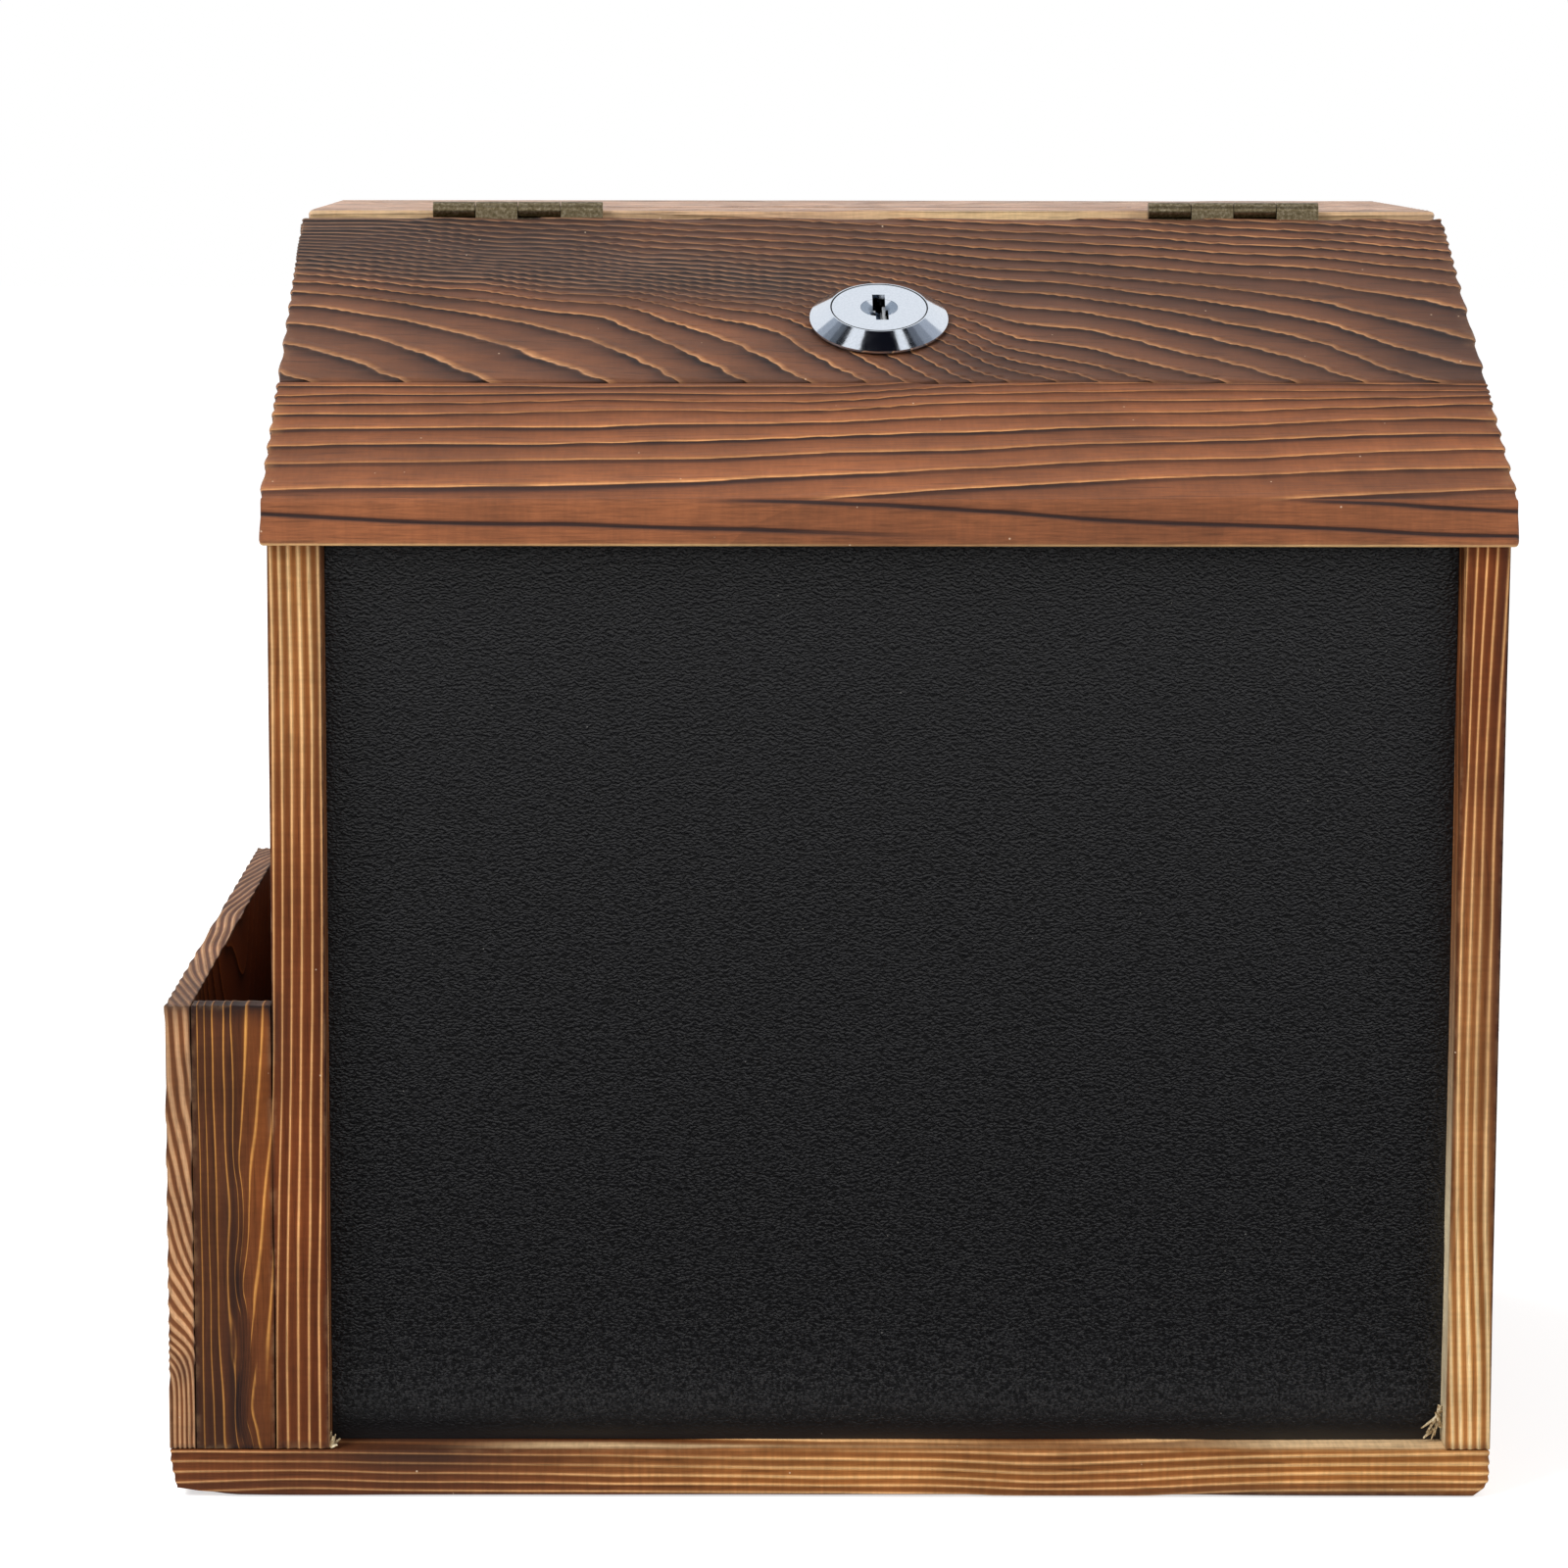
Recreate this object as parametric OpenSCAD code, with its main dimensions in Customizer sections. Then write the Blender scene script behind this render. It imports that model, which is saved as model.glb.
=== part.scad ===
// Wooden ballot box with a sloping lockable lid, a recessed chalkboard front,
// a slot in its flat top and an open pocket along the left side.
// Millimetres, +Z up, the front faces -Y.
// The origin is on the table, at the centre of the footprint.

/* [Carcass] */
// Width over the two side boards
body_w = 252; // [200:1:320]
// Depth from the front edges to the back
body_d = 206; // [185:1:280]
// Height of the flat top above the table
body_h = 263; // [200:1:330]
// Thickness of the bottom board
base_t = 10; // [6:0.5:16]
// Thickness of the left side board
left_side_t = 11.2; // [8:0.1:16]
// Thickness of the right side board
right_side_t = 9.3; // [8:0.1:16]
// Thickness of the back board
back_t = 9; // [6:0.5:16]
// Radius of the eased arrises of the carcass boards
arris_r = 0.5; // [0.2:0.1:1]

/* [Flat top] */
// Thickness of the flat top board
top_t = 9; // [8:0.5:12]
// Depth of the flat top board
top_d = 95; // [60:1:110]
// Length of the ballot slot
slot_len = 120; // [60:1:160]
// Width of the ballot slot
slot_w = 10; // [6:0.5:16]
// Distance from the flat top's front edge to the middle of the slot
slot_setback = 29; // [22:1:40]

/* [Front] */
// Depth of the writing surface behind the front edges
recess_d = 8; // [4:0.5:14]
// Thickness of the writing sheet
sheet_t = 1.5; // [1:0.1:3]
// Thickness of the board behind the writing sheet
front_t = 6; // [4:0.5:10]

/* [Lid] */
// Thickness of the lid boards
lid_t = 9; // [7:0.5:12]
// Slope of the lid in degrees
lid_slope = 26; // [18:1:32]
// Reach of the lid beyond the front edges
lid_front_reach = 3; // [0:0.5:8]
// Reach of the lid beyond each side board
lid_side_reach = 1.2; // [0:0.1:5]
// Drop from the flat top to the lid's rear arris
lid_drop = 0.9; // [0.5:0.1:2]
// Width of the lower lid board along the slope
lower_board_w = 48.4; // [30:0.1:52]
// Radius of the lid's eased arrises
lid_arris_r = 1.2; // [0.4:0.1:1.6]

/* [Side pocket] */
// Reach of the pocket beyond the left side board
pocket_w = 22; // [16:0.5:60]
// Height of the pocket's rim above the table
pocket_h = 103.5; // [50:0.5:150]
// Thickness of the pocket's long board
pocket_side_t = 5.6; // [4:0.1:8]
// Thickness of the pocket's two end boards
pocket_end_t = 6; // [4:0.1:9]

/* [Hinges] */
// Length of each hinge
hinge_len = 38; // [26:1:48]
// Diameter of the hinge barrel
barrel_d = 3.6; // [3.2:0.1:5]
// Thickness of a hinge leaf
leaf_t = 1; // [0.8:0.1:1.2]
// Reach of a leaf below the pin's axis
leaf_reach = 8.3; // [7.6:0.1:8.8]
// Number of knuckles in each hinge
knuckles = 4; // [4, 6]
// Diameter of the hinge pin
pin_d = 1.8; // [1.4:0.1:1.9]
// Distance from the left side's face to the left hinge
left_hinge_inset = 28; // [16:0.5:45]
// Distance from the right side's face to the right hinge
right_hinge_inset = 26.5; // [16:0.5:45]
// Diameter of the hinge screws
hinge_screw_d = 2; // [1.6:0.1:2.2]
// Length of the hinge screws
hinge_screw_len = 8; // [6:0.5:9]

/* [Lock] */
// Distance of the lock from the lid's front arris, along the slope
lock_up_slope = 74; // [70:0.5:80]
// Diameter of the trim ring
trim_d = 29.7; // [27:0.1:34]
// Height of the trim ring above the lid
trim_h = 3.1; // [2.8:0.1:4.5]
// Diameter of the turning face
face_d = 20.4; // [20:0.1:22]
// Diameter of the threaded barrel
lock_barrel_d = 18; // [17:0.1:19]
// Diameter of the plug inside the barrel
plug_d = 13; // [12:0.1:14]
// Distance across the flats of the nut
nut_af = 22; // [21:0.5:24]
// Thickness of the nut
nut_t = 3.5; // [2.5:0.1:5]
// Reach of the cam from the plug's axis
cam_reach = 32; // [26:0.5:36]
// Thickness of the cam
cam_t = 2; // [1.5:0.1:3]
// Angle through which the key turns
lock_travel = 90; // [60:5:90]

/* [Lock rail] */
// Width of the rail that the cam catches
rail_w = 22; // [16:0.5:26]
// Thickness of the rail
rail_t = 8.4; // [7:0.1:12]
// Distance from the plug's axis to the rail
rail_offset = 17; // [16:0.5:20]

/* [Base screws] */
// Diameter of the base screws
base_screw_d = 3; // [2.5:0.1:3.5]
// Length of the base screws
base_screw_len = 25; // [18:1:32]
// Number of screws under each side board
screws_per_side = 3; // [2:1:5]
// Distance from the front and the back to the outer screws
base_screw_inset = 28; // [15:1:50]

/* [Hidden] */
$fn = 64;

// Clearances
run_gap = 0.05;
seat_gap = 0.2;
knuckle_gap = 0.1;
cam_gap = 0.45;
barrel_gap = 0.15;
tab_gap = 0.2;
overcut = 1;

// Colours
scorched = [0.36, 0.20, 0.11];
toasted = [0.62, 0.38, 0.19];
honey = [0.74, 0.50, 0.27];
inside_brown = [0.50, 0.31, 0.17];
chalk_black = [0.08, 0.08, 0.09];
old_brass = [0.42, 0.37, 0.22];
chrome = [0.80, 0.82, 0.85];
zinc = [0.62, 0.63, 0.65];

// The lid's rear face and the hinge line
barrel_r = barrel_d / 2;
hinge_y = body_d - top_d - barrel_r - knuckle_gap;
lid_rear_y = hinge_y - barrel_r - knuckle_gap;
lid_rear_z = body_h - lid_drop;

// The lid's slope, from its front arris up to its rear arris
lid_front_z = lid_rear_z - (lid_rear_y + lid_front_reach) * tan(lid_slope);
lid_len = (lid_rear_y + lid_front_reach) / cos(lid_slope);
lid_w = body_w + 2 * lid_side_reach;
cut_lean = lid_t * tan(lid_slope);

// Height of the side boards' sloping edge at a distance y behind the front
function slope_z(y) =
  lid_front_z + (y + lid_front_reach) * tan(lid_slope) - (lid_t + seat_gap) / cos(lid_slope);

top_under = body_h - top_t;
shoulder_y = (top_under - slope_z(0)) / tan(lid_slope);
inner_w = body_w - left_side_t - right_side_t;
panel_back_y = recess_d + sheet_t + front_t;
pocket_inner_w = pocket_w - pocket_side_t;

// Hinge details
knuckle_len = hinge_len / knuckles;
pin_r = pin_d / 2;
leaf_face = barrel_r + knuckle_gap;
leaf_notch = barrel_r + 2 * knuckle_gap;
leaf_screw_drop = 1;
leaf_screw_z = -(leaf_notch + leaf_reach) / 2 - leaf_screw_drop;
leaf_screw_inset = hinge_len / 5;
hinge_screw_head_d = 3.6;
left_hinge_x = left_hinge_inset;
right_hinge_x = body_w - right_hinge_inset - hinge_len;

// Lock levels, measured from the lid's outer face along the lock's axis
lock_x = body_w / 2;
ledge_t = 0.6;
flange_t = 1.2;
washer_t = 0.8;
washer_rim = 1;
stop_washer_t = 1;
cam_top = -(lid_t + seat_gap + rail_t + cam_gap);
plug_shoulder = cam_top + stop_washer_t;
barrel_end = plug_shoulder + barrel_gap;
cam_under = cam_top - cam_t;

// Lock sizes
barrel_hole_r = lock_barrel_d / 2 + seat_gap;
flat_width = 16;
lip_w = 0.25;
trim_rim_h = 0.5;
trim_wall = 1.05;
tang_w = 6;
key_w = 2.7;
key_h = 11.2;
key_step = 0.55;
key_depth = 12;
dish_r = 4;
dish_depth = 0.9;
stop_width = 40;
stop_angle = 135;
stop_depth = 1.6;
stop_play = 2;
cam_hub_r = 8;
cam_tip_r = 4.5;
cam_root_w = 12;
cam_screw_r = 2;
cam_screw_len = 8;
cam_screw_head_r = 3.8;
cam_screw_head_t = 2.2;
cam_screw_cross_w = 0.8;
base_screw_head_d = 2 * base_screw_d;
base_screw_sink = 0.3;

// Point, tip and cross recess of the wood screws
screw_point_ratio = 1.5;
screw_tip_r = 0.1;
cross_len_ratio = 0.5;
cross_w_ratio = 0.1;
cross_depth_ratio = 0.125;

// A vector turned by an angle
function turned(v, angle) = [
  v.x * cos(angle) - v.y * sin(angle),
  v.x * sin(angle) + v.y * cos(angle)
];

// The arc that eases one corner of an outline, or the corner itself where r is 0
function corner_arc(before, corner, after, r, steps) =
  let (
    u = (before - corner) / norm(before - corner),
    v = (after - corner) / norm(after - corner),
    half = acos(u * v) / 2,
    centre = corner + (u + v) / norm(u + v) * r / sin(half),
    start = corner + u * r / tan(half) - centre
  )
  r == 0 ? [corner] : [
    for (k = [0:steps]) centre + turned(start, (180 - 2 * half) * k / steps)
  ];

// An anticlockwise outline with each corner eased by its own radius
function eased(outline, radii, steps = 3) =
  let (n = len(outline))
  [
    for (i = [0:n - 1])
      each corner_arc(outline[(i + n - 1) % n], outline[i], outline[(i + 1) % n], radii[i], steps)
  ];

function eased_rectangle(w, h, r) =
  eased([[0, 0], [w, 0], [w, h], [0, h]], [r, r, r, r]);

// Prism along X of an outline drawn in Y and Z
module along_x(length) {
  rotate([90, 0, 90]) linear_extrude(height = length) children();
}

// Prism along Y of an outline drawn in X and Z, from y = 0 backwards
module along_y(length) {
  translate([0, length, 0]) rotate([90, 0, 0]) linear_extrude(height = length) children();
}

// A sawn board with all of its arrises eased
module board(size, r = arris_r) {
  intersection() {
    linear_extrude(height = size.z) polygon(eased_rectangle(size.x, size.y, r));
    along_x(size.x) polygon(eased_rectangle(size.y, size.z, r));
    along_y(size.y) polygon(eased_rectangle(size.x, size.z, r));
  }
}

// Moves what is drawn from the carcass's front left corner to the part's origin
module placed() {
  translate([
    -(body_w + lid_side_reach - pocket_w) / 2,
    -(body_d - lid_front_reach) / 2,
    0
  ]) children();
}

// Frame on the lid's outer face: X across, Y up the slope, Z out of the lid
module on_lid() {
  translate([0, -lid_front_reach, lid_front_z]) rotate([lid_slope, 0, 0]) children();
}

// Frame of the lock, with its axis along Z
module on_lock() {
  on_lid() translate([lock_x, lock_up_slope, 0]) children();
}

// Frame of a hinge, with the pin's axis along X
module on_hinge(x) {
  translate([x, hinge_y, body_h]) children();
}

// Countersunk wood screw with its head at z = 0 and its point towards +Z.
// grow makes the matching hole, with that much room all round.
module wood_screw(d, length, head_d, grow = 0) {
  r = d / 2 + grow;
  head_r = head_d / 2 + grow;
  point_len = screw_point_ratio * d;
  cross_len = cross_len_ratio * head_d;
  cross_w = cross_w_ratio * head_d;
  difference() {
    rotate_extrude() polygon([
      [0, grow > 0 ? -overcut : 0],
      [head_r, grow > 0 ? -overcut : 0],
      [head_r, 0],
      [r, head_r - r],
      [r, length - point_len],
      [screw_tip_r + grow, length + grow],
      [0, length + grow]
    ]);
    if (grow == 0) for (turn = [0, 90]) rotate([0, 0, turn])
      translate([-cross_len / 2, -cross_w / 2, -overcut])
        cube([cross_len, cross_w, overcut + cross_depth_ratio * head_d]);
  }
}

// Places of the base screws, under the middle of each side board
module at_base_screws() {
  pitch = (body_d - 2 * base_screw_inset) / (screws_per_side - 1);
  for (x = [left_side_t / 2, body_w - right_side_t / 2])
    for (i = [0:screws_per_side - 1])
      translate([x, base_screw_inset + i * pitch, base_screw_sink]) children();
}

module base_screw_holes() {
  at_base_screws() wood_screw(base_screw_d, base_screw_len, base_screw_head_d, run_gap);
}

// Places of the two screws of each leaf; side is 1 for the flat top and -1 for the lid
module at_leaf_screws(side) {
  for (hinge_x = [left_hinge_x, right_hinge_x])
    on_hinge(hinge_x)
      for (x = [leaf_screw_inset, hinge_len - leaf_screw_inset])
        translate([x, side * (leaf_face - leaf_t), leaf_screw_z])
          rotate([side * -90, 0, 0]) children();
}

module leaf_screw_holes(side) {
  at_leaf_screws(side)
    wood_screw(hinge_screw_d, hinge_screw_len, hinge_screw_head_d, run_gap);
}

// The bottom runs under the carcass and the pocket
module bottom_board() {
  color(toasted) placed() difference() {
    translate([-pocket_w, 0, 0]) board([body_w + pocket_w, body_d, base_t]);
    base_screw_holes();
  }
}

// Side board, sloped under the lid and level under the flat top
module side_board(x, t) {
  color(honey) placed() difference() {
    intersection() {
      translate([x, 0, 0]) along_x(t) polygon([
        [0, base_t],
        [body_d, base_t],
        [body_d, top_under],
        [shoulder_y, top_under],
        [0, slope_z(0)]
      ]);
      translate([x, 0, 0]) board([t, body_d, body_h]);
    }
    base_screw_holes();
  }
}

module left_side_board() {
  side_board(0, left_side_t);
}

module right_side_board() {
  side_board(body_w - right_side_t, right_side_t);
}

module back_board() {
  color(toasted) placed()
    translate([left_side_t, body_d - back_t, base_t])
      board([inner_w, back_t, top_under - base_t]);
}

// Board behind the chalkboard, bevelled along its top to meet the lid
module front_board() {
  front_y = recess_d + sheet_t;
  color(inside_brown) placed() translate([left_side_t, 0, 0]) along_x(inner_w) polygon([
    [front_y, base_t],
    [front_y + front_t, base_t],
    [front_y + front_t, slope_z(front_y + front_t)],
    [front_y, slope_z(front_y)]
  ]);
}

module chalkboard() {
  color(chalk_black) placed()
    translate([left_side_t, recess_d, base_t])
      cube([inner_w, sheet_t, slope_z(recess_d) - base_t]);
}

// Flat top board with the rounded ballot slot
module top_board() {
  slot_x = body_w / 2;
  slot_y = body_d - top_d + slot_setback;
  slot_r = slot_w / 2;
  color(honey) placed() difference() {
    translate([0, body_d - top_d, top_under]) board([body_w, top_d, top_t], 2 * arris_r);
    translate([slot_x, slot_y, top_under - overcut])
      linear_extrude(height = top_t + 2 * overcut) {
        square([slot_len - slot_w, slot_w], center = true);
        for (x = [-1, 1] * (slot_len - slot_w) / 2)
          translate([x, 0]) circle(r = slot_r);
      }
    leaf_screw_holes(1);
  }
}

// Crossbar under the lid, which the cam turns beneath
module lock_rail() {
  color(inside_brown) placed() on_lid()
    translate([
      left_side_t,
      lock_up_slope - rail_offset - rail_w,
      -lid_t - seat_gap - rail_t
    ])
      board([inner_w, rail_w, rail_t]);
}

module pocket_side_board() {
  color(toasted) placed()
    translate([-pocket_w, 0, base_t])
      board([pocket_side_t, body_d, pocket_h - base_t]);
}

// End board of the pocket, standing between its long board and the carcass
module pocket_end(y) {
  color(scorched) placed()
    translate([-pocket_inner_w, y, base_t])
      board([pocket_inner_w, pocket_end_t, pocket_h - base_t]);
}

module pocket_front_board() {
  pocket_end(0);
}

module pocket_back_board() {
  pocket_end(body_d - pocket_end_t);
}

module base_screws() {
  color(zinc) placed()
    at_base_screws() wood_screw(base_screw_d, base_screw_len, base_screw_head_d);
}

// Part of the lid between two places on its slope. The front and rear faces
// are cut plumb, and the glued joint is square to the outer face.
module lid_board(section) {
  r = lid_arris_r;
  intersection() {
    translate([-lid_side_reach, 0, 0]) along_x(lid_w) polygon(section);
    translate([-lid_side_reach, -cut_lean, -lid_t])
      linear_extrude(height = lid_t)
        polygon(eased_rectangle(lid_w, lid_len + cut_lean, r));
    translate([-lid_side_reach, -cut_lean, -lid_t])
      along_y(lid_len + cut_lean)
        polygon(eased_rectangle(lid_w, lid_t, r / 2));
  }
}

module lid_upper_board() {
  color(scorched) placed() difference() {
    on_lid() difference() {
      lid_board(eased(
        [
          [lower_board_w, -lid_t],
          [lid_len - cut_lean, -lid_t],
          [lid_len, 0],
          [lower_board_w, 0]
        ],
        [0, lid_arris_r / 2, lid_arris_r / 2, 0]
      ));
      translate([lock_x, lock_up_slope, -lid_t - overcut])
        cylinder(r = barrel_hole_r, h = lid_t + 2 * overcut);
    }
    leaf_screw_holes(-1);
  }
}

module lid_lower_board() {
  color(toasted) placed() on_lid()
    lid_board(eased(
      [
        [-cut_lean, -lid_t],
        [lower_board_w, -lid_t],
        [lower_board_w, 0],
        [0, 0]
      ],
      [lid_arris_r / 2, 0, 0, lid_arris_r]
    ));
}

// Hinge leaf: a plate against the wood and every other knuckle round the pin.
// side is 1 for the flat top's leaf and -1 for the lid's leaf.
module hinge_leaf(hinge_x, side) {
  first = side > 0 ? 0 : 1;
  plate_y = side > 0 ? leaf_face - leaf_t : -leaf_face;
  color(old_brass) placed() difference() {
    on_hinge(hinge_x) difference() {
      union() {
        translate([0, plate_y, -leaf_reach])
          cube([hinge_len, leaf_t, leaf_reach - leaf_notch]);
        for (i = [first:2:knuckles - 1])
          translate([i * knuckle_len + knuckle_gap, 0, 0])
            along_x(knuckle_len - 2 * knuckle_gap) {
              circle(r = barrel_r);
              translate([plate_y, -leaf_notch - overcut])
                square([leaf_t, leaf_notch + overcut]);
            }
      }
      translate([-overcut, 0, 0])
        along_x(hinge_len + 2 * overcut) circle(r = pin_r + run_gap);
    }
    leaf_screw_holes(side);
  }
}

module hinge_pin(hinge_x) {
  color(old_brass) placed() on_hinge(hinge_x)
    translate([knuckle_gap, 0, 0])
      along_x(hinge_len - 2 * knuckle_gap) circle(r = pin_r);
}

module left_hinge_top_leaf() {
  hinge_leaf(left_hinge_x, 1);
}

module left_hinge_lid_leaf() {
  hinge_leaf(left_hinge_x, -1);
}

module left_hinge_pin() {
  hinge_pin(left_hinge_x);
}

module right_hinge_top_leaf() {
  hinge_leaf(right_hinge_x, 1);
}

module right_hinge_lid_leaf() {
  hinge_leaf(right_hinge_x, -1);
}

module right_hinge_pin() {
  hinge_pin(right_hinge_x);
}

module leaf_screws(side) {
  color(old_brass) placed() at_leaf_screws(side)
    wood_screw(hinge_screw_d, hinge_screw_len, hinge_screw_head_d);
}

module top_leaf_screws() {
  leaf_screws(1);
}

module lid_leaf_screws() {
  leaf_screws(-1);
}

// Conical trim ring, hollow underneath, with a ledge for the lock's flange
module lock_trim_ring() {
  trim_r = trim_d / 2;
  bore_r = face_d / 2 + lip_w;
  lip_r = bore_r + lip_w;
  hollow_r = lip_r + trim_wall / 2;
  color(chrome) placed() on_lock() rotate_extrude() difference() {
    polygon([
      [barrel_hole_r, 0],
      [trim_r, 0],
      [trim_r, trim_rim_h],
      [lip_r, trim_h],
      [bore_r, trim_h],
      [bore_r, ledge_t],
      [barrel_hole_r, ledge_t]
    ]);
    polygon([
      [hollow_r, -overcut],
      [trim_r - trim_wall, -overcut],
      [trim_r - trim_wall, trim_rim_h / 2],
      [hollow_r, trim_h - trim_wall]
    ]);
  }
}

// Wedge of a disc between two angles
module sector(r, from, to) {
  steps = 12;
  polygon(concat(
    [[0, 0]],
    [for (i = [0:steps]) turned([r, 0], from + (to - from) * i / steps)]
  ));
}

// Threaded barrel with two flats, a flange in the trim ring and,
// at its inner end, the notch that limits the plug's turn
module lock_housing() {
  barrel_r = lock_barrel_d / 2;
  notch_to = stop_angle + stop_width / 2 + stop_play;
  notch_from = stop_angle - stop_width / 2 - stop_play - lock_travel;
  color(chrome) placed() on_lock() difference() {
    union() {
      translate([0, 0, ledge_t]) cylinder(r = face_d / 2, h = flange_t);
      intersection() {
        translate([0, 0, barrel_end]) cylinder(r = barrel_r, h = ledge_t - barrel_end);
        translate([-flat_width / 2, -barrel_r, barrel_end])
          cube([flat_width, lock_barrel_d, ledge_t - barrel_end]);
      }
    }
    translate([0, 0, barrel_end - overcut])
      cylinder(r = plug_d / 2 + run_gap, h = flange_t + ledge_t - barrel_end + 2 * overcut);
    translate([0, 0, barrel_end - overcut])
      linear_extrude(height = stop_depth + overcut)
        sector(lock_barrel_d, notch_from, notch_to);
  }
}

module lock_washer() {
  color(zinc) placed() on_lock()
    translate([0, 0, -lid_t - washer_t])
      difference() {
        cylinder(r = nut_af / 2 + washer_rim, h = washer_t);
        translate([0, 0, -overcut]) cylinder(r = barrel_hole_r, h = washer_t + 2 * overcut);
      }
}

module lock_nut() {
  color(zinc) placed() on_lock()
    translate([0, 0, -lid_t - washer_t - nut_t])
      difference() {
        cylinder(r = nut_af / 2 / cos(30), h = nut_t, $fn = 6);
        translate([0, 0, -overcut])
          cylinder(r = lock_barrel_d / 2 + run_gap, h = nut_t + 2 * overcut);
      }
}

// Plug with its wide turning face, stepped key slot and square tang
module lock_plug() {
  face_under = ledge_t + flange_t + run_gap;
  tang_end = cam_under + run_gap;
  color(chrome) placed() on_lock() difference() {
    union() {
      translate([0, 0, face_under]) cylinder(r = face_d / 2, h = trim_h - face_under);
      translate([0, 0, plug_shoulder]) cylinder(r = plug_d / 2, h = face_under - plug_shoulder);
      translate([-tang_w / 2, -tang_w / 2, tang_end])
        cube([tang_w, tang_w, plug_shoulder - tang_end]);
    }
    translate([0, 0, trim_h - dish_depth])
      cylinder(r1 = key_w / 2, r2 = dish_r, h = dish_depth);
    translate([-key_w / 2, 0, trim_h - key_depth])
      cube([key_w, key_h / 2, key_depth + overcut]);
    translate([-key_w / 2 + key_step, -key_h / 2, trim_h - key_depth])
      cube([key_w, key_h / 2 + run_gap, key_depth + overcut]);
    translate([0, 0, tang_end - overcut])
      cylinder(r = cam_screw_r, h = cam_screw_len);
  }
}

// Washer keyed to the tang, with the tab that runs in the barrel's notch
module lock_stop_washer() {
  tab_inner = plug_d / 2 + tab_gap;
  tab_outer = lock_barrel_d / 2 - tab_gap;
  hole_w = tang_w + 2 * run_gap;
  color(zinc) placed() on_lock() {
    difference() {
      union() {
        translate([0, 0, cam_top]) cylinder(r = tab_outer, h = stop_washer_t);
        translate([0, 0, cam_top]) linear_extrude(height = stop_washer_t + stop_depth - barrel_gap)
          intersection() {
            difference() {
              circle(r = tab_outer);
              circle(r = tab_inner);
            }
            sector(lock_barrel_d, stop_angle - stop_width / 2, stop_angle + stop_width / 2);
          }
      }
      translate([-hole_w / 2, -hole_w / 2, cam_top - overcut])
        cube([hole_w, hole_w, stop_washer_t + 2 * overcut]);
    }
  }
}

// Flat cam, which points to the right until the key turns it down the slope
module lock_cam() {
  hole_w = tang_w + 2 * run_gap;
  tip_x = cam_reach - cam_tip_r;
  color(zinc) placed() on_lock() translate([0, 0, cam_under])
    linear_extrude(height = cam_t) difference() {
      union() {
        circle(r = cam_hub_r);
        polygon([
          [0, -cam_root_w / 2],
          [tip_x, -cam_tip_r],
          [tip_x, cam_tip_r],
          [0, cam_root_w / 2]
        ]);
        translate([tip_x, 0]) circle(r = cam_tip_r);
      }
      square([hole_w, hole_w], center = true);
    }
}

module lock_cam_screw() {
  color(zinc) placed() on_lock() difference() {
    union() {
      translate([0, 0, cam_under - cam_screw_head_t])
        cylinder(r = cam_screw_head_r, h = cam_screw_head_t);
      translate([0, 0, cam_under - run_gap])
        cylinder(r = cam_screw_r - run_gap, h = cam_screw_len - overcut);
    }
    for (turn = [0, 90]) rotate([0, 0, turn])
      translate([
        -cam_screw_head_r / 2,
        -cam_screw_cross_w / 2,
        cam_under - cam_screw_head_t - overcut
      ])
        cube([cam_screw_head_r, cam_screw_cross_w, overcut + cam_screw_head_t / 2]);
  }
}

bottom_board();
left_side_board();
right_side_board();
back_board();
front_board();
chalkboard();
top_board();
lock_rail();
pocket_side_board();
pocket_front_board();
pocket_back_board();
base_screws();
lid_upper_board();
lid_lower_board();
left_hinge_top_leaf();
left_hinge_lid_leaf();
left_hinge_pin();
right_hinge_top_leaf();
right_hinge_lid_leaf();
right_hinge_pin();
top_leaf_screws();
lid_leaf_screws();
lock_trim_ring();
lock_housing();
lock_washer();
lock_nut();
lock_plug();
lock_stop_washer();
lock_cam();
lock_cam_screw();
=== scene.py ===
import math

import bpy
import bmesh
import numpy as np
from mathutils import Euler, Matrix, Vector


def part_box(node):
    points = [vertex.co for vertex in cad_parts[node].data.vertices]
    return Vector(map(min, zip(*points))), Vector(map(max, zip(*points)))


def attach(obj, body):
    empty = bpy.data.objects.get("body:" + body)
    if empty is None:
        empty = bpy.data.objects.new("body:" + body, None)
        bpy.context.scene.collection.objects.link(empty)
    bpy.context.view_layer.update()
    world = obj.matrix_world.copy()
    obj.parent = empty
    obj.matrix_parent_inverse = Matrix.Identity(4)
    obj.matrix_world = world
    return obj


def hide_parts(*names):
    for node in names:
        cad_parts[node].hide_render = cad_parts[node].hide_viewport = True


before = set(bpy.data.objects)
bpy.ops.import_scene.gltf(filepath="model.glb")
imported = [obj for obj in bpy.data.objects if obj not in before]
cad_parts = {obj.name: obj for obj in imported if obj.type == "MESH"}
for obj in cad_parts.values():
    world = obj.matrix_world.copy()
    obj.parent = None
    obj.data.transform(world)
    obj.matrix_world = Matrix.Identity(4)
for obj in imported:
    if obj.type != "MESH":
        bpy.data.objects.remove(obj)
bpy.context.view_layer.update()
mm = 0.001

# The body's lower left front corner in the shared frame, worked back from the boards
bottomLow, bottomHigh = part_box("bottom_board")
leftLow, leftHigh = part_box("left_side_board")
rightLow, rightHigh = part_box("right_side_board")
topLow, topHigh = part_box("top_board")
bodyX, bodyY = leftLow.x, leftLow.y


# Camera

cameraSettings = {
    "place": (bodyX + 89.2 * mm, bodyY - 963.1 * mm, 289.7 * mm),
    "pitch": 7.533, "roll": 0.086, "yaw": 0.137,
    "lens": 109.73, "shiftX": 0.0415, "shiftY": -0.0399,
}


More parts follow.
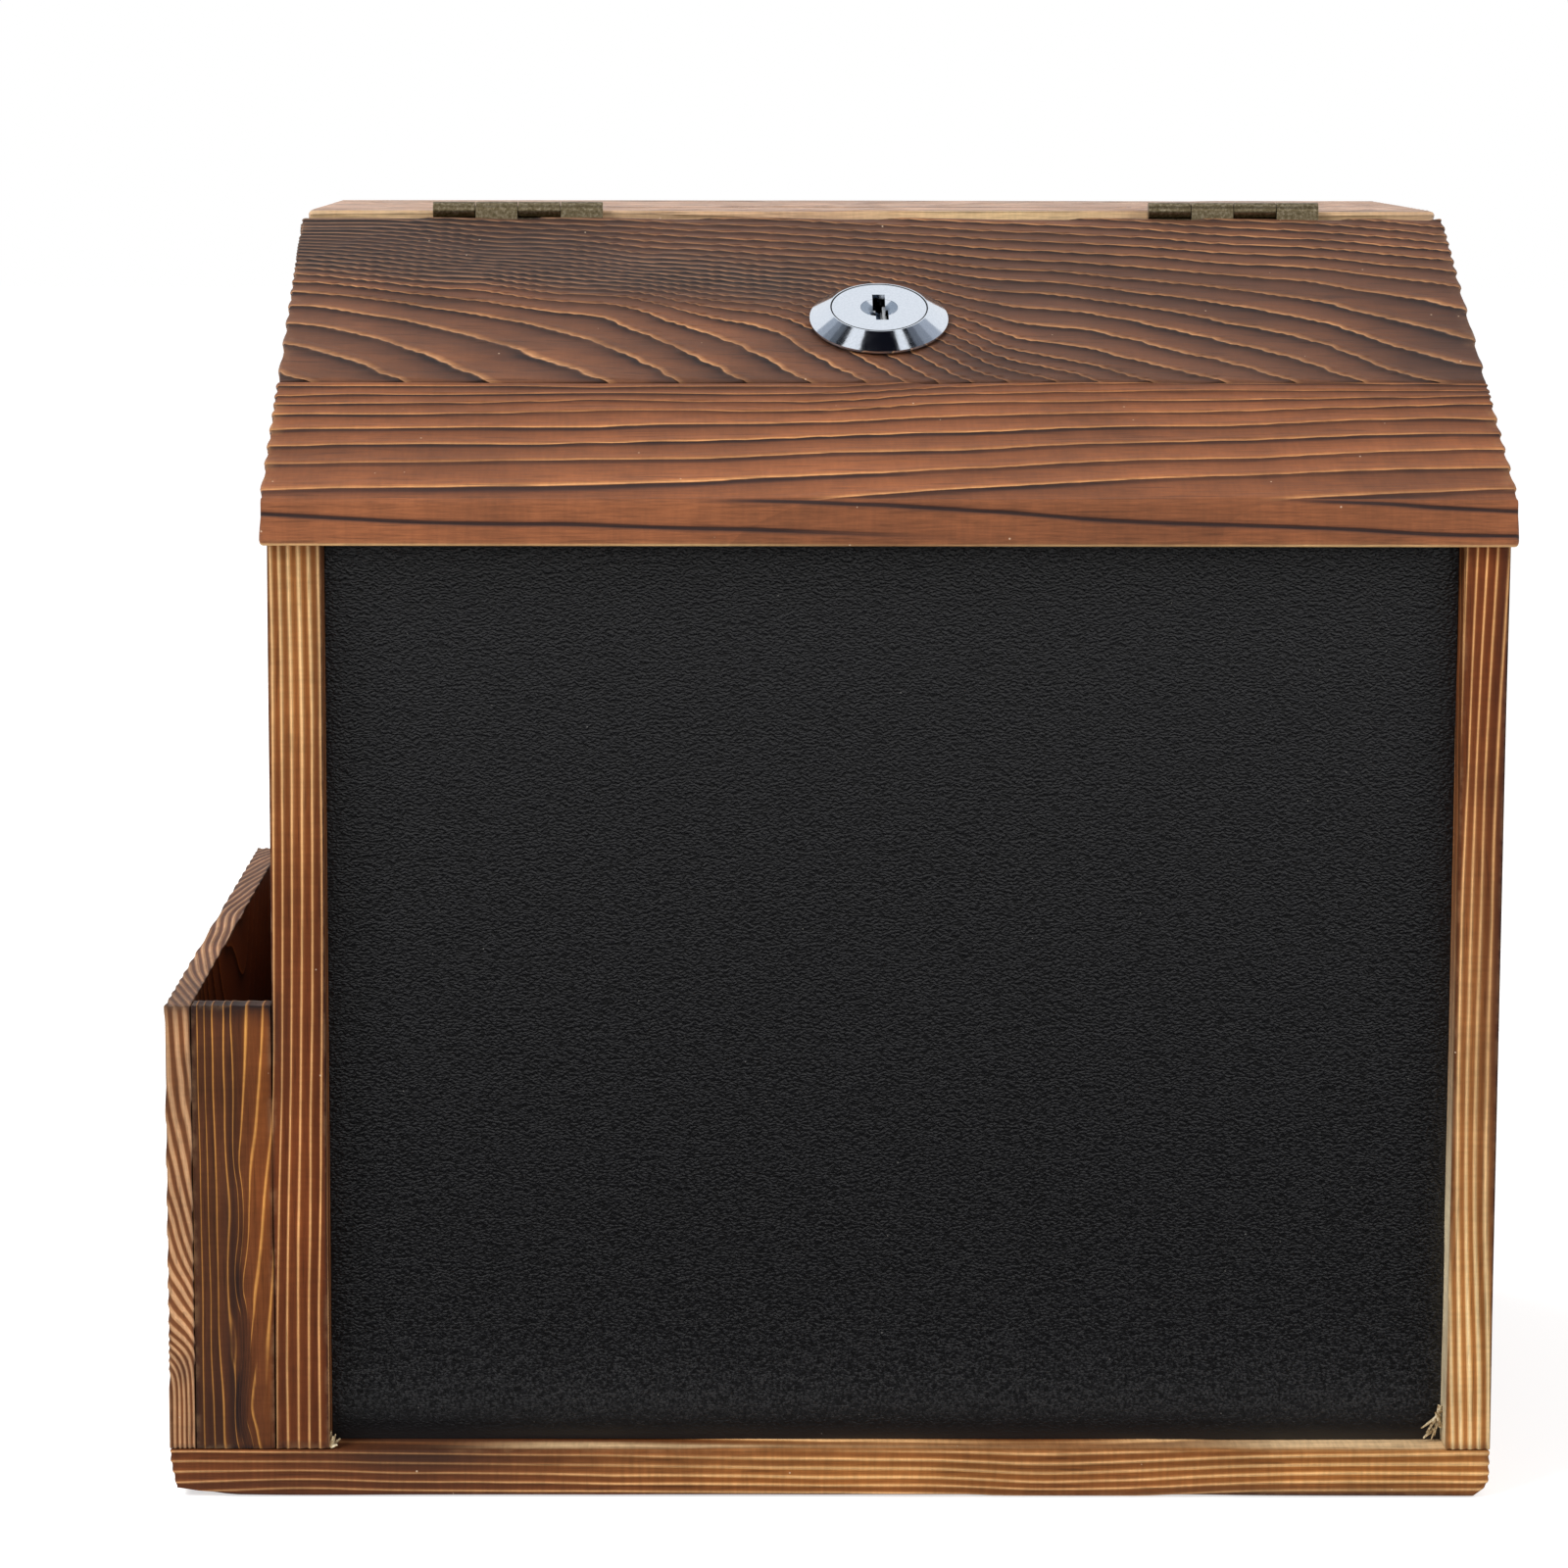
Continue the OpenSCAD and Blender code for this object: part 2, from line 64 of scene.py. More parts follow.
def placeCamera(s):
    data = bpy.data.cameras.new("camera")
    data.sensor_width = 36
    data.lens = s["lens"]
    data.shift_x, data.shift_y = s["shiftX"], s["shiftY"]
    data.clip_start, data.clip_end = 0.05, 20
    camera = bpy.data.objects.new("camera", data)
    bpy.context.scene.collection.objects.link(camera)
    camera.location = s["place"]
    camera.rotation_euler = (math.radians(90 - s["pitch"]), -math.radians(s["roll"]), -math.radians(s["yaw"]))
    bpy.context.scene.camera = camera


placeCamera(cameraSettings)
print("camera placed")


# Helpers for meshes

def selectOnly(piece):
    bpy.ops.object.select_all(action="DESELECT")
    piece.select_set(True)
    bpy.context.view_layer.objects.active = piece


def addBlock(name, low, high):
    # a primitive cube at its size and place, with its place in its mesh
    bpy.ops.object.select_all(action="DESELECT")
    low, high = Vector(low), Vector(high)
    bpy.ops.mesh.primitive_cube_add(size=1, location=(low + high) / 2)
    piece = bpy.context.active_object
    piece.name = name
    piece.scale = high - low
    bpy.ops.object.transform_apply(location=True, rotation=True, scale=True)
    return piece


def easeArrises(piece, radius, segments=2):
    selectOnly(piece)
    bpy.ops.object.mode_set(mode="EDIT")
    bpy.ops.mesh.select_all(action="SELECT")
    bpy.ops.mesh.bevel(offset=radius, offset_type="OFFSET", segments=segments, affect="EDGES")
    bpy.ops.object.mode_set(mode="OBJECT")


def cutEvenly(piece, cells):
    # subdivides all edges that run along each axis, so that a board gets even cells
    selectOnly(piece)
    for axis in range(3):
        bpy.ops.object.mode_set(mode="EDIT")
        bpy.ops.mesh.select_mode(type="EDGE")
        bpy.ops.mesh.select_all(action="DESELECT")
        net = bmesh.from_edit_mesh(piece.data)
        longest = 0
        for edge in net.edges:
            run = edge.verts[1].co - edge.verts[0].co
            if abs(run[axis]) > 0.999 * run.length and run.length > 1.5 * mm:
                edge.select_set(True)
                longest = max(longest, run.length)
        bmesh.update_edit_mesh(piece.data)
        cuts = round(longest / (cells[axis] * mm)) - 1
        if cuts > 0:
            bpy.ops.mesh.subdivide(number_cuts=cuts)
        bpy.ops.object.mode_set(mode="OBJECT")
    selectOnly(piece)


def readPoints(piece):
    points = np.zeros(len(piece.data.vertices) * 3)
    piece.data.vertices.foreach_get("co", points)
    return points.reshape(-1, 3)


def writePoints(piece, points):
    piece.data.vertices.foreach_set("co", np.ascontiguousarray(points, dtype=float).ravel())
    piece.data.update()


def readNormals(piece):
    normals = np.zeros(len(piece.data.vertices) * 3)
    piece.data.vertices.foreach_get("normal", normals)
    return normals.reshape(-1, 3)


def writeLayer(piece, name, values):
    layer = piece.data.attributes.new(name, "FLOAT", "POINT")
    layer.data.foreach_set("value", np.ascontiguousarray(values, dtype=np.float32))


# Year rings. A board's rings are one smooth field through its whole thickness. The field is
# stretched through a few grain lines, each given as ring number: points on the board in mm.

def ringField(grainLines, squeeze=1.0, slack=0.02):
    # squeeze shortens the second direction, along which straight grain hardly changes
    spots = np.array([p for line in grainLines.values() for p in line], float) * (1, squeeze)
    rings = np.array([ring for ring, line in grainLines.items() for p in line], float)
    size = np.ptp(spots, axis=0).max()

    def kernel(d):
        return d * d * np.log(d + 1e-9)

    n = len(spots)
    gaps = np.linalg.norm(spots[:, None] - spots[None], axis=2) / size
    plane = np.column_stack([np.ones(n), spots / size])
    system = np.zeros((n + 3, n + 3))
    system[:n, :n] = kernel(gaps) + slack * 0.05 * np.eye(n)
    system[:n, n:] = plane
    system[n:, :n] = plane.T
    weights = np.linalg.solve(system, np.concatenate([rings, np.zeros(3)]))

    def field(a, b):
        b = b * squeeze
        total = weights[n] + weights[n + 1] * a / size + weights[n + 2] * b / size
        for spot, weight in zip(spots, weights):
            total = total + weight * kernel(np.hypot(a - spot[0], b - spot[1]) / size)
        return total

    return field


def ripple(a, b, seed, reach=30.0):
    # smooth waver made of a few sines, between about -1 and 1
    chance = np.random.default_rng(seed)
    total = 0
    for k in range(6):
        turn = chance.uniform(0, 6.28)
        pitch = reach * chance.uniform(0.5, 1.6)
        start = chance.uniform(0, 6.28)
        total = total + np.sin((a * math.cos(turn) + b * math.sin(turn)) * 6.28 / pitch + start)
    return total / 4


def spread(x, start, end):
    t = np.clip((x - start) / (end - start), 0, 1)
    return t * t * (3 - 2 * t)


def stain(a, b, marks):
    # browning by the flame: soft patches given as (a, b, reach in a, reach in b, strength)
    total = np.zeros_like(a)
    for pa, pb, ra, rb, strength in marks:
        total = total + strength * np.exp(-((a - pa) / ra) ** 2 - ((b - pb) / rb) ** 2)
    return total


def brushBoard(piece, rings, depth, crest=0.06, fall=0.09, endDepth=None, endAxis=0):
    # wire brushing hollows the soft early wood and leaves each late ring as a crest
    share = rings - np.floor(rings)
    hollow = np.where(share < crest, 0.0, spread(share, crest, 0.75)) * (1 - spread(share, 1 - fall, 1.0))
    normals = readNormals(piece)
    deep = np.zeros(len(rings)) + depth
    if endDepth is not None:
        deep = depth + (endDepth - depth) * spread(np.abs(normals[:, endAxis]), 0.5, 0.9)
    points = readPoints(piece)
    writePoints(piece, points - normals * (deep * hollow * mm)[:, None])


# Helpers for materials

def paint(hexColour):
    # sRGB hex to the linear colour that the shaders take
    parts = [int(hexColour[i:i + 2], 16) / 255 for i in (1, 3, 5)]
    return tuple(c / 12.92 if c <= 0.04045 else ((c + 0.055) / 1.055) ** 2.4 for c in parts) + (1.0,)


def addNode(tree, kind, settings=None, links=None):
    # one node with its settings, and its inputs as constants or as the outputs they come from
    node = tree.nodes.new(kind)
    for key, value in (settings or {}).items():
        setattr(node, key, value)
    for socket, value in (links or {}).items():
        target = node.inputs[socket]
        if isinstance(value, bpy.types.NodeSocket):
            tree.links.new(value, target)
        else:
            target.default_value = value
    return node


def startMaterial(name):
    material = bpy.data.materials.new(name)
    material.use_nodes = True
    tree = material.node_tree
    tree.nodes.clear()
    output = tree.nodes.new("ShaderNodeOutputMaterial")
    shader = tree.nodes.new("ShaderNodeBsdfPrincipled")
    tree.links.new(shader.outputs[0], output.inputs[0])
    return material, tree, shader


def colourStops(tree, source, stops):
    ramp = addNode(tree, "ShaderNodeValToRGB", {}, {0: source})
    while len(ramp.color_ramp.elements) < len(stops):
        ramp.color_ramp.elements.new(0.5)
    for element, (place, colour) in zip(ramp.color_ramp.elements, stops):
        element.position = place
        element.color = paint(colour) if isinstance(colour, str) else (colour, colour, colour, 1)
    return ramp


# Burnt and brushed pine: planed pine browned with a flame, wire brushed and waxed. Each year
# ring gives a pale hard crest and a brown hollow, the flame's passes give dark clouds, and the
# fibres a fine streak along the grain.

def makeBurntPine(name, s):
    material, tree, shader = startMaterial(name)
    place = addNode(tree, "ShaderNodeTexCoord").outputs["Object"]
    ring = addNode(tree, "ShaderNodeAttribute", {"attribute_name": "ring"}).outputs["Fac"]
    burn = addNode(tree, "ShaderNodeAttribute", {"attribute_name": "burn"}).outputs["Fac"]
    wear = addNode(tree, "ShaderNodeAttribute", {"attribute_name": "wear"}).outputs["Fac"]

    # waver of each ring line, about 4 mm long and a few hundredths of a ring wide
    lean = addNode(tree, "ShaderNodeMapping", {"vector_type": "POINT"}, {"Vector": place, "Scale": s["along"]})
    waver = addNode(tree, "ShaderNodeTexNoise", {}, {"Vector": lean.outputs[0], "Scale": 1000 / s["waver"], "Detail": 3.0})
    shifted = addNode(tree, "ShaderNodeMath", {"operation": "MULTIPLY_ADD"}, {0: waver.outputs[0], 1: s["waverRings"], 2: ring})
    share = addNode(tree, "ShaderNodeMath", {"operation": "FRACT"}, {0: shifted.outputs[0]})
    number = addNode(tree, "ShaderNodeMath", {"operation": "FLOOR"}, {0: shifted.outputs[0]})
    year = addNode(tree, "ShaderNodeTexWhiteNoise", {"noise_dimensions": "1D"}, {"W": number.outputs[0]})

    # ring colours, from the pale crest to the brown hollow and the dark foot of the next crest; the dark foot is char
    # and painted shade of the crest's step
    brown = colourStops(tree, share.outputs[0], s["stops"]).outputs[0]
    other = colourStops(tree, share.outputs[0], s["otherStops"]).outputs[0]
    blend = addNode(tree, "ShaderNodeAttribute", {"attribute_name": "blend"}).outputs["Fac"]
    wood = addNode(tree, "ShaderNodeMix", {"data_type": "RGBA"}, {"Factor": blend, 6: brown, 7: other}).outputs[2]
    # broad faces, where a ring is 5 to 20 mm wide: only thin crests, each with a dark foot of char and painted shade
    flank = addNode(tree, "ShaderNodeAttribute", {"attribute_name": "flank"}).outputs["Fac"]
    broad = colourStops(tree, share.outputs[0], s["flankStops"]).outputs[0]
    wood = addNode(tree, "ShaderNodeMix", {"data_type": "RGBA"}, {"Factor": flank, 6: wood, 7: broad}).outputs[2]
    plain = addNode(tree, "ShaderNodeMix", {"data_type": "RGBA"}, {"Factor": blend, 6: paint(s["plain"]), 7: paint(s["otherPlain"])})

    # crests fade in and out along the board, over about 25 mm
    fade = addNode(tree, "ShaderNodeTexNoise", {}, {"Vector": lean.outputs[0], "Scale": 1000 / s["fadeLength"], "Detail": 2.0})
    keep = addNode(tree, "ShaderNodeMapRange", {}, {"Value": fade.outputs[0], "From Min": 0.3, "From Max": 0.62, "To Min": s["fadeLow"], "To Max": 1.0})
    # and stay away where the board's calm layer is 1
    calm = addNode(tree, "ShaderNodeAttribute", {"attribute_name": "calm"}).outputs["Fac"]
    lively = addNode(tree, "ShaderNodeMath", {"operation": "SUBTRACT"}, {0: 1.0, 1: calm})
    shown = addNode(tree, "ShaderNodeMath", {"operation": "MULTIPLY"}, {0: keep.outputs[0], 1: lively.outputs[0]})
    wood = addNode(tree, "ShaderNodeMix", {"data_type": "RGBA"}, {"Factor": shown.outputs[0], 6: plain.outputs[2], 7: wood}).outputs[2]

    # each year's wood is a little lighter or darker than the next
    tone = addNode(tree, "ShaderNodeMapRange", {}, {"Value": year.outputs[0], "To Min": 1 - s["yearTone"], "To Max": 1 + s["yearTone"]})
    # clouds of browning, 15 to 40 mm across
    cloud = addNode(tree, "ShaderNodeTexNoise", {}, {"Vector": place, "Scale": 1000 / s["cloud"], "Detail": 4.0, "Roughness": 0.6})
    cloudTone = addNode(tree, "ShaderNodeMapRange", {}, {"Value": cloud.outputs[0], "From Min": 0.3, "From Max": 0.7, "To Min": 1 - s["cloudTone"], "To Max": 1 + s["cloudTone"]})
    # fibres 0.3 mm across and 30 times as long, about twice as coarse as in the real wood
    strand = addNode(tree, "ShaderNodeTexNoise", {}, {"Vector": lean.outputs[0], "Scale": 1000 / 0.45, "Detail": 3.0, "Roughness": 0.7})
    strandTone = addNode(tree, "ShaderNodeMapRange", {}, {"Value": strand.outputs[0], "From Min": 0.25, "From Max": 0.75, "To Min": 1 - s["strandTone"], "To Max": 1 + s["strandTone"]})
    # fuzz left by the saw, in ticks 0.5 mm apart that stand across the grain
    across = addNode(tree, "ShaderNodeMapping", {}, {"Vector": place, "Scale": s["across"]})
    tick = addNode(tree, "ShaderNodeTexNoise", {}, {"Vector": across.outputs[0], "Scale": 1000 / 0.9, "Detail": 2.0})
    tickTone = addNode(tree, "ShaderNodeMapRange", {}, {"Value": tick.outputs[0], "From Min": 0.3, "From Max": 0.7, "To Min": 1 - s["ticks"], "To Max": 1 + s["ticks"]})
    toneA = addNode(tree, "ShaderNodeMath", {"operation": "MULTIPLY"}, {0: tone.outputs[0], 1: cloudTone.outputs[0]})
    toneC = addNode(tree, "ShaderNodeMath", {"operation": "MULTIPLY"}, {0: toneA.outputs[0], 1: tickTone.outputs[0]})
    toneD = addNode(tree, "ShaderNodeMath", {"operation": "MULTIPLY"}, {0: toneC.outputs[0], 1: strandTone.outputs[0]})
    # resin canals: dark dashes 0.3 mm wide and about 6 mm long
    canal = addNode(tree, "ShaderNodeMapping", {}, {"Vector": place, "Scale": s["canals"]})
    canals = addNode(tree, "ShaderNodeTexNoise", {}, {"Vector": canal.outputs[0], "Scale": 1000 / 0.7, "Detail": 1.0})
    canalTone = addNode(tree, "ShaderNodeMapRange", {}, {"Value": canals.outputs[0], "From Min": 0.6, "From Max": 0.72, "To Min": 1.0, "To Max": s["canalTone"]})
    toneB = addNode(tree, "ShaderNodeMath", {"operation": "MULTIPLY"}, {0: toneD.outputs[0], 1: canalTone.outputs[0]})
    toned = addNode(tree, "ShaderNodeVectorMath", {"operation": "SCALE"}, {0: wood, "Scale": toneB.outputs[0]})

    # the flame's dark passes, strongest in the hollows
    crest = colourStops(tree, share.outputs[0], [(0.0, 0.0), (0.1, 0.15), (0.25, 1.0), (0.97, 1.0), (1.0, 0.0)])
    charShare = addNode(tree, "ShaderNodeMath", {"operation": "MULTIPLY_ADD", "use_clamp": True}, {0: crest.outputs[0], 1: 0.45, 2: 0.55})
    charred = addNode(tree, "ShaderNodeMath", {"operation": "MULTIPLY", "use_clamp": True}, {0: burn, 1: charShare.outputs[0]})
    char = addNode(tree, "ShaderNodeRGB")
    char.outputs[0].default_value = paint(s["char"])
    wood = addNode(tree, "ShaderNodeMix", {"data_type": "RGBA"}, {"Factor": charred.outputs[0], 6: toned.outputs[0], 7: char.outputs[0]}).outputs[2]

    # scorched late wood: a few broad dark strokes, each where the strokes layer is a whole number
    strokes = addNode(tree, "ShaderNodeAttribute", {"attribute_name": "strokes"}).outputs["Fac"]
    strokeShade = addNode(tree, "ShaderNodeAttribute", {"attribute_name": "strokeShade"}).outputs["Fac"]
    strokeShift = addNode(tree, "ShaderNodeMath", {"operation": "MULTIPLY_ADD"}, {0: waver.outputs[0], 1: 0.06, 2: strokes})
    strokeHalf = addNode(tree, "ShaderNodeMath", {"operation": "ADD"}, {0: strokeShift.outputs[0], 1: 0.47})
    strokeShare = addNode(tree, "ShaderNodeMath", {"operation": "FRACT"}, {0: strokeHalf.outputs[0]})
    strokeRamp = colourStops(tree, strokeShare.outputs[0], [(0.34, 0.0), (0.42, 0.5), (0.46, 1.0), (0.55, 1.0), (0.6, 0.3), (0.7, 0.0)])
    strokeMix = addNode(tree, "ShaderNodeMath", {"operation": "MULTIPLY", "use_clamp": True}, {0: strokeRamp.outputs[0], 1: strokeShade})
    wood = addNode(tree, "ShaderNodeMix", {"data_type": "RGBA"}, {"Factor": strokeMix.outputs[0], 6: wood, 7: paint("#2c1a18")}).outputs[2]

    # wood that the flame never reached
    raw = addNode(tree, "ShaderNodeAttribute", {"attribute_name": "raw"}).outputs["Fac"]
    fresh = addNode(tree, "ShaderNodeVectorMath", {"operation": "SCALE"}, {0: paint(s["raw"])[:3], "Scale": toneB.outputs[0]})
    wood = addNode(tree, "ShaderNodeMix", {"data_type": "RGBA"}, {"Factor": raw, 6: wood, 7: fresh.outputs[0]}).outputs[2]

    # arrises rubbed back to paler wood in places
    rub = addNode(tree, "ShaderNodeTexNoise", {}, {"Vector": place, "Scale": 1000 / 6.0, "Detail": 5.0, "Roughness": 0.65})
    rubShare = addNode(tree, "ShaderNodeMapRange", {}, {"Value": rub.outputs[0], "From Min": 0.46, "From Max": 0.6, "To Min": 0.0, "To Max": s["rubbed"]})
    rubbed = addNode(tree, "ShaderNodeMath", {"operation": "MULTIPLY", "use_clamp": True}, {0: rubShare.outputs[0], 1: wear})
    bare = addNode(tree, "ShaderNodeRGB")
    bare.outputs[0].default_value = paint(s["bare"])
    wood = addNode(tree, "ShaderNodeMix", {"data_type": "RGBA"}, {"Factor": rubbed.outputs[0], 6: wood, 7: bare.outputs[0]}).outputs[2]

    # a few pale grains of brushing dust, 0.3 mm, in cells 7 mm apart
    dust = addNode(tree, "ShaderNodeTexVoronoi", {}, {"Vector": place, "Scale": 1000 / 7.0})
    grains = addNode(tree, "ShaderNodeMapRange", {}, {"Value": dust.outputs["Distance"], "From Min": 0.022, "From Max": 0.034, "To Min": 0.6, "To Max": 0.0})
    pale = addNode(tree, "ShaderNodeRGB")
    pale.outputs[0].default_value = paint("#e8cdb0")
    wood = addNode(tree, "ShaderNodeMix", {"data_type": "RGBA"}, {"Factor": grains.outputs[0], 6: wood, 7: pale.outputs[0]}).outputs[2]

    tree.links.new(wood, shader.inputs["Base Color"])
    rough = addNode(tree, "ShaderNodeMapRange", {}, {"Value": strand.outputs[0], "To Min": s["roughLow"], "To Max": s["roughHigh"]})
    tree.links.new(rough.outputs[0], shader.inputs["Roughness"])
    shader.inputs["IOR"].default_value = 1.45
    shader.inputs["Specular IOR Level"].default_value = s["gloss"]

    # crest and strand relief, which the mesh is too coarse to carry
    hollow = addNode(tree, "ShaderNodeMath", {"operation": "MULTIPLY"}, {0: crest.outputs[0], 1: lively.outputs[0]})
    sunk = addNode(tree, "ShaderNodeMath", {"operation": "MULTIPLY_ADD"}, {0: strokeMix.outputs[0], 1: -0.15, 2: 0.0})
    rise = addNode(tree, "ShaderNodeMath", {"operation": "MULTIPLY_ADD"}, {0: hollow.outputs[0], 1: -s["crestRise"], 2: sunk.outputs[0]})
    height = addNode(tree, "ShaderNodeMath", {"operation": "MULTIPLY_ADD"}, {0: strand.outputs[0], 1: s["strandRise"], 2: rise.outputs[0]})
    bump = addNode(tree, "ShaderNodeBump", {}, {"Height": height.outputs[0], "Strength": 1.0, "Distance": mm})
    tree.links.new(bump.outputs[0], shader.inputs["Normal"])
    return material


woodBase = {
    "along": (0.07, 1, 1), "canals": (0.05, 1, 1), "canalTone": 0.7, "across": (1, 0.15, 0.15), "ticks": 0.0, "waver": 5.0, "waverRings": 0.06, "fadeLength": 9.0, "fadeLow": 0.35,
    "yearTone": 0.12, "cloud": 26.0, "cloudTone": 0.22, "strandTone": 0.2, "gloss": 0.15,
    "char": "#33231d", "rubbed": 0.5, "bare": "#c79a6e", "raw": "#d9c7a4",
    "roughLow": 0.45, "roughHigh": 0.7, "crestRise": 0.12, "strandRise": 0.06,
    "flankStops": [(0.0, "#c58f5e"), (0.03, "#a46d40"), (0.1, "#7e4a28"), (0.5, "#74421f"), (0.8, "#65381d"), (0.92, "#3a221a"), (0.975, "#33201a"), (1.0, "#a46d40")],
}
upright = dict(woodBase, along=(1, 1, 0.07), canals=(1, 1, 0.05), across=(0.15, 0.15, 1), ticks=0.07, waverRings=0.05, fadeLow=0.7)

# "stops" run across one year ring, from crest to crest; "otherStops" are for the part of the
# board where its blend layer is 1: crowded rings on the lid, lightly browned wood elsewhere
woodKinds = {
    "lidDark": dict(
        woodBase, plain="#5c3b2a", otherPlain="#50392f", char="#2a1d1a", cloud=34.0, bare="#b08462", fadeLow=0.4, crestRise=0.35, gloss=0.45, cloudTone=0.25,
        strandTone=0.26, ticks=0.04,
        stops=[(0.0, "#d39c6e"), (0.04, "#b07a50"), (0.12, "#7f4f33"), (0.5, "#6f442c"), (0.78, "#563424"), (0.92, "#281813"), (0.975, "#2a1914"), (1.0, "#b07a50")],
        otherStops=[(0.0, "#b48a6a"), (0.14, "#8a634c"), (0.4, "#50382e"), (0.62, "#231816"), (0.86, "#1b1312"), (0.95, "#4a352c"), (1.0, "#b48a6a")]),
    "lidBrown": dict(
        woodBase, plain="#88502f", otherPlain="#6a402a", char="#3d2419", bare="#c89460", raw="#dcb37c", fadeLow=0.5, crestRise=0.22, gloss=0.4, cloudTone=0.25,
        strandTone=0.28, ticks=0.06,
        stops=[(0.0, "#d89e68"), (0.035, "#b5784a"), (0.1, "#925733"), (0.5, "#844c2a"), (0.8, "#744327"), (0.91, "#3a2017"), (0.98, "#2c1812"), (1.0, "#b5784a")],
        otherStops=[(0.0, "#b07850"), (0.12, "#7f4e2f"), (0.55, "#6f4128"), (0.83, "#352019"), (0.96, "#301c16"), (1.0, "#b07850")]),
    "sideBrown": dict(
        upright, plain="#774020", otherPlain="#c08a52", char="#33211b", bare="#dca878", rubbed=0.3,
        stops=[(0.0, "#eab478"), (0.09, "#dda066"), (0.17, "#8c4f26"), (0.3, "#6d3617"), (0.78, "#653014"), (0.88, "#743c1b"), (0.95, "#cd9058"), (1.0, "#eab478")],
        otherStops=[(0.0, "#f6d8a4"), (0.2, "#edc48a"), (0.34, "#bd8248"), (0.52, "#9c6230"), (0.76, "#a86c36"), (0.9, "#e4b87e"), (1.0, "#f6d8a4")]),
    "pocketBrown": dict(
        upright, plain="#54311d", otherPlain="#743f1e", char="#2a1c19", fadeLow=0.5, rubbed=0.4,
        stops=[(0.0, "#dc9c52"), (0.07, "#c08440"), (0.14, "#66391d"), (0.34, "#54301c"), (0.8, "#4a2a1b"), (0.92, "#543018"), (0.965, "#bd813e"), (1.0, "#dc9c52")],
        otherStops=[(0.0, "#e4a45a"), (0.07, "#cb8b45"), (0.15, "#84491f"), (0.34, "#74401c"), (0.8, "#6b391a"), (0.92, "#77421c"), (0.965, "#cb8b45"), (1.0, "#e4a45a")]),
    "pocketLong": dict(
        upright, plain="#8f5a33", otherPlain="#5c3e2e", char="#33221d", fadeLow=0.7, rubbed=0.3, gloss=0.3,
        stops=[(0.0, "#e0b084"), (0.28, "#cf9c70"), (0.38, "#85502c"), (0.55, "#683a1d"), (0.74, "#744324"), (0.84, "#c69266"), (1.0, "#e0b084")],
        otherStops=[(0.0, "#96725b"), (0.2, "#7f5e4a"), (0.4, "#54392c"), (0.7, "#43302a"), (0.9, "#6d4f3e"), (1.0, "#96725b")]),
    "baseBrown": dict(
        woodBase, raw="#e0bd90", plain="#74401f", otherPlain="#b57f48", char="#33231d", bare="#d9aa78", fadeLow=0.6, rubbed=0.3, ticks=0.12,
        stops=[(0.0, "#eeb982"), (0.11, "#dda26a"), (0.2, "#8a4f2a"), (0.4, "#65351a"), (0.75, "#5f3117"), (0.88, "#7a421f"), (0.95, "#d69c64"), (1.0, "#eeb982")],
        otherStops=[(0.0, "#f0c48c"), (0.18, "#e6b274"), (0.32, "#aa6f38"), (0.5, "#8c5424"), (0.78, "#9a5f2b"), (0.91, "#e2ae70"), (1.0, "#f0c48c")]),
}


# Boards

def writeWood(piece, rings, layers):
    writeLayer(piece, "ring", rings)
    writeLayer(piece, "strokes", layers.get("strokes", 0 * rings))
    for name in ("burn", "blend", "wear", "raw", "calm", "flank", "strokeShade"):
        writeLayer(piece, name, np.clip(layers.get(name, 0 * rings), 0, 1))


def finishBoard(piece, nodeName, bodyName, material):
    piece.data.materials.clear()
    piece.data.materials.append(material)
    selectOnly(piece)
    bpy.ops.object.shade_smooth_by_angle(angle=math.radians(35))
    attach(piece, bodyName)
    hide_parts(nodeName)


def edgeWear(points, low, high, reach=1.4):
    # 1 on an arris, 0 further than reach from it: the second smallest distance to the six faces
    away = np.minimum(points - np.array(low), np.array(high) - points) / mm
    away = np.sort(np.abs(away), axis=1)
    return 1 - spread(away[:, 1], 0.15, reach)


# Lid, drawn in the frame of its outer face: x across, y up the slope, z out of the wood

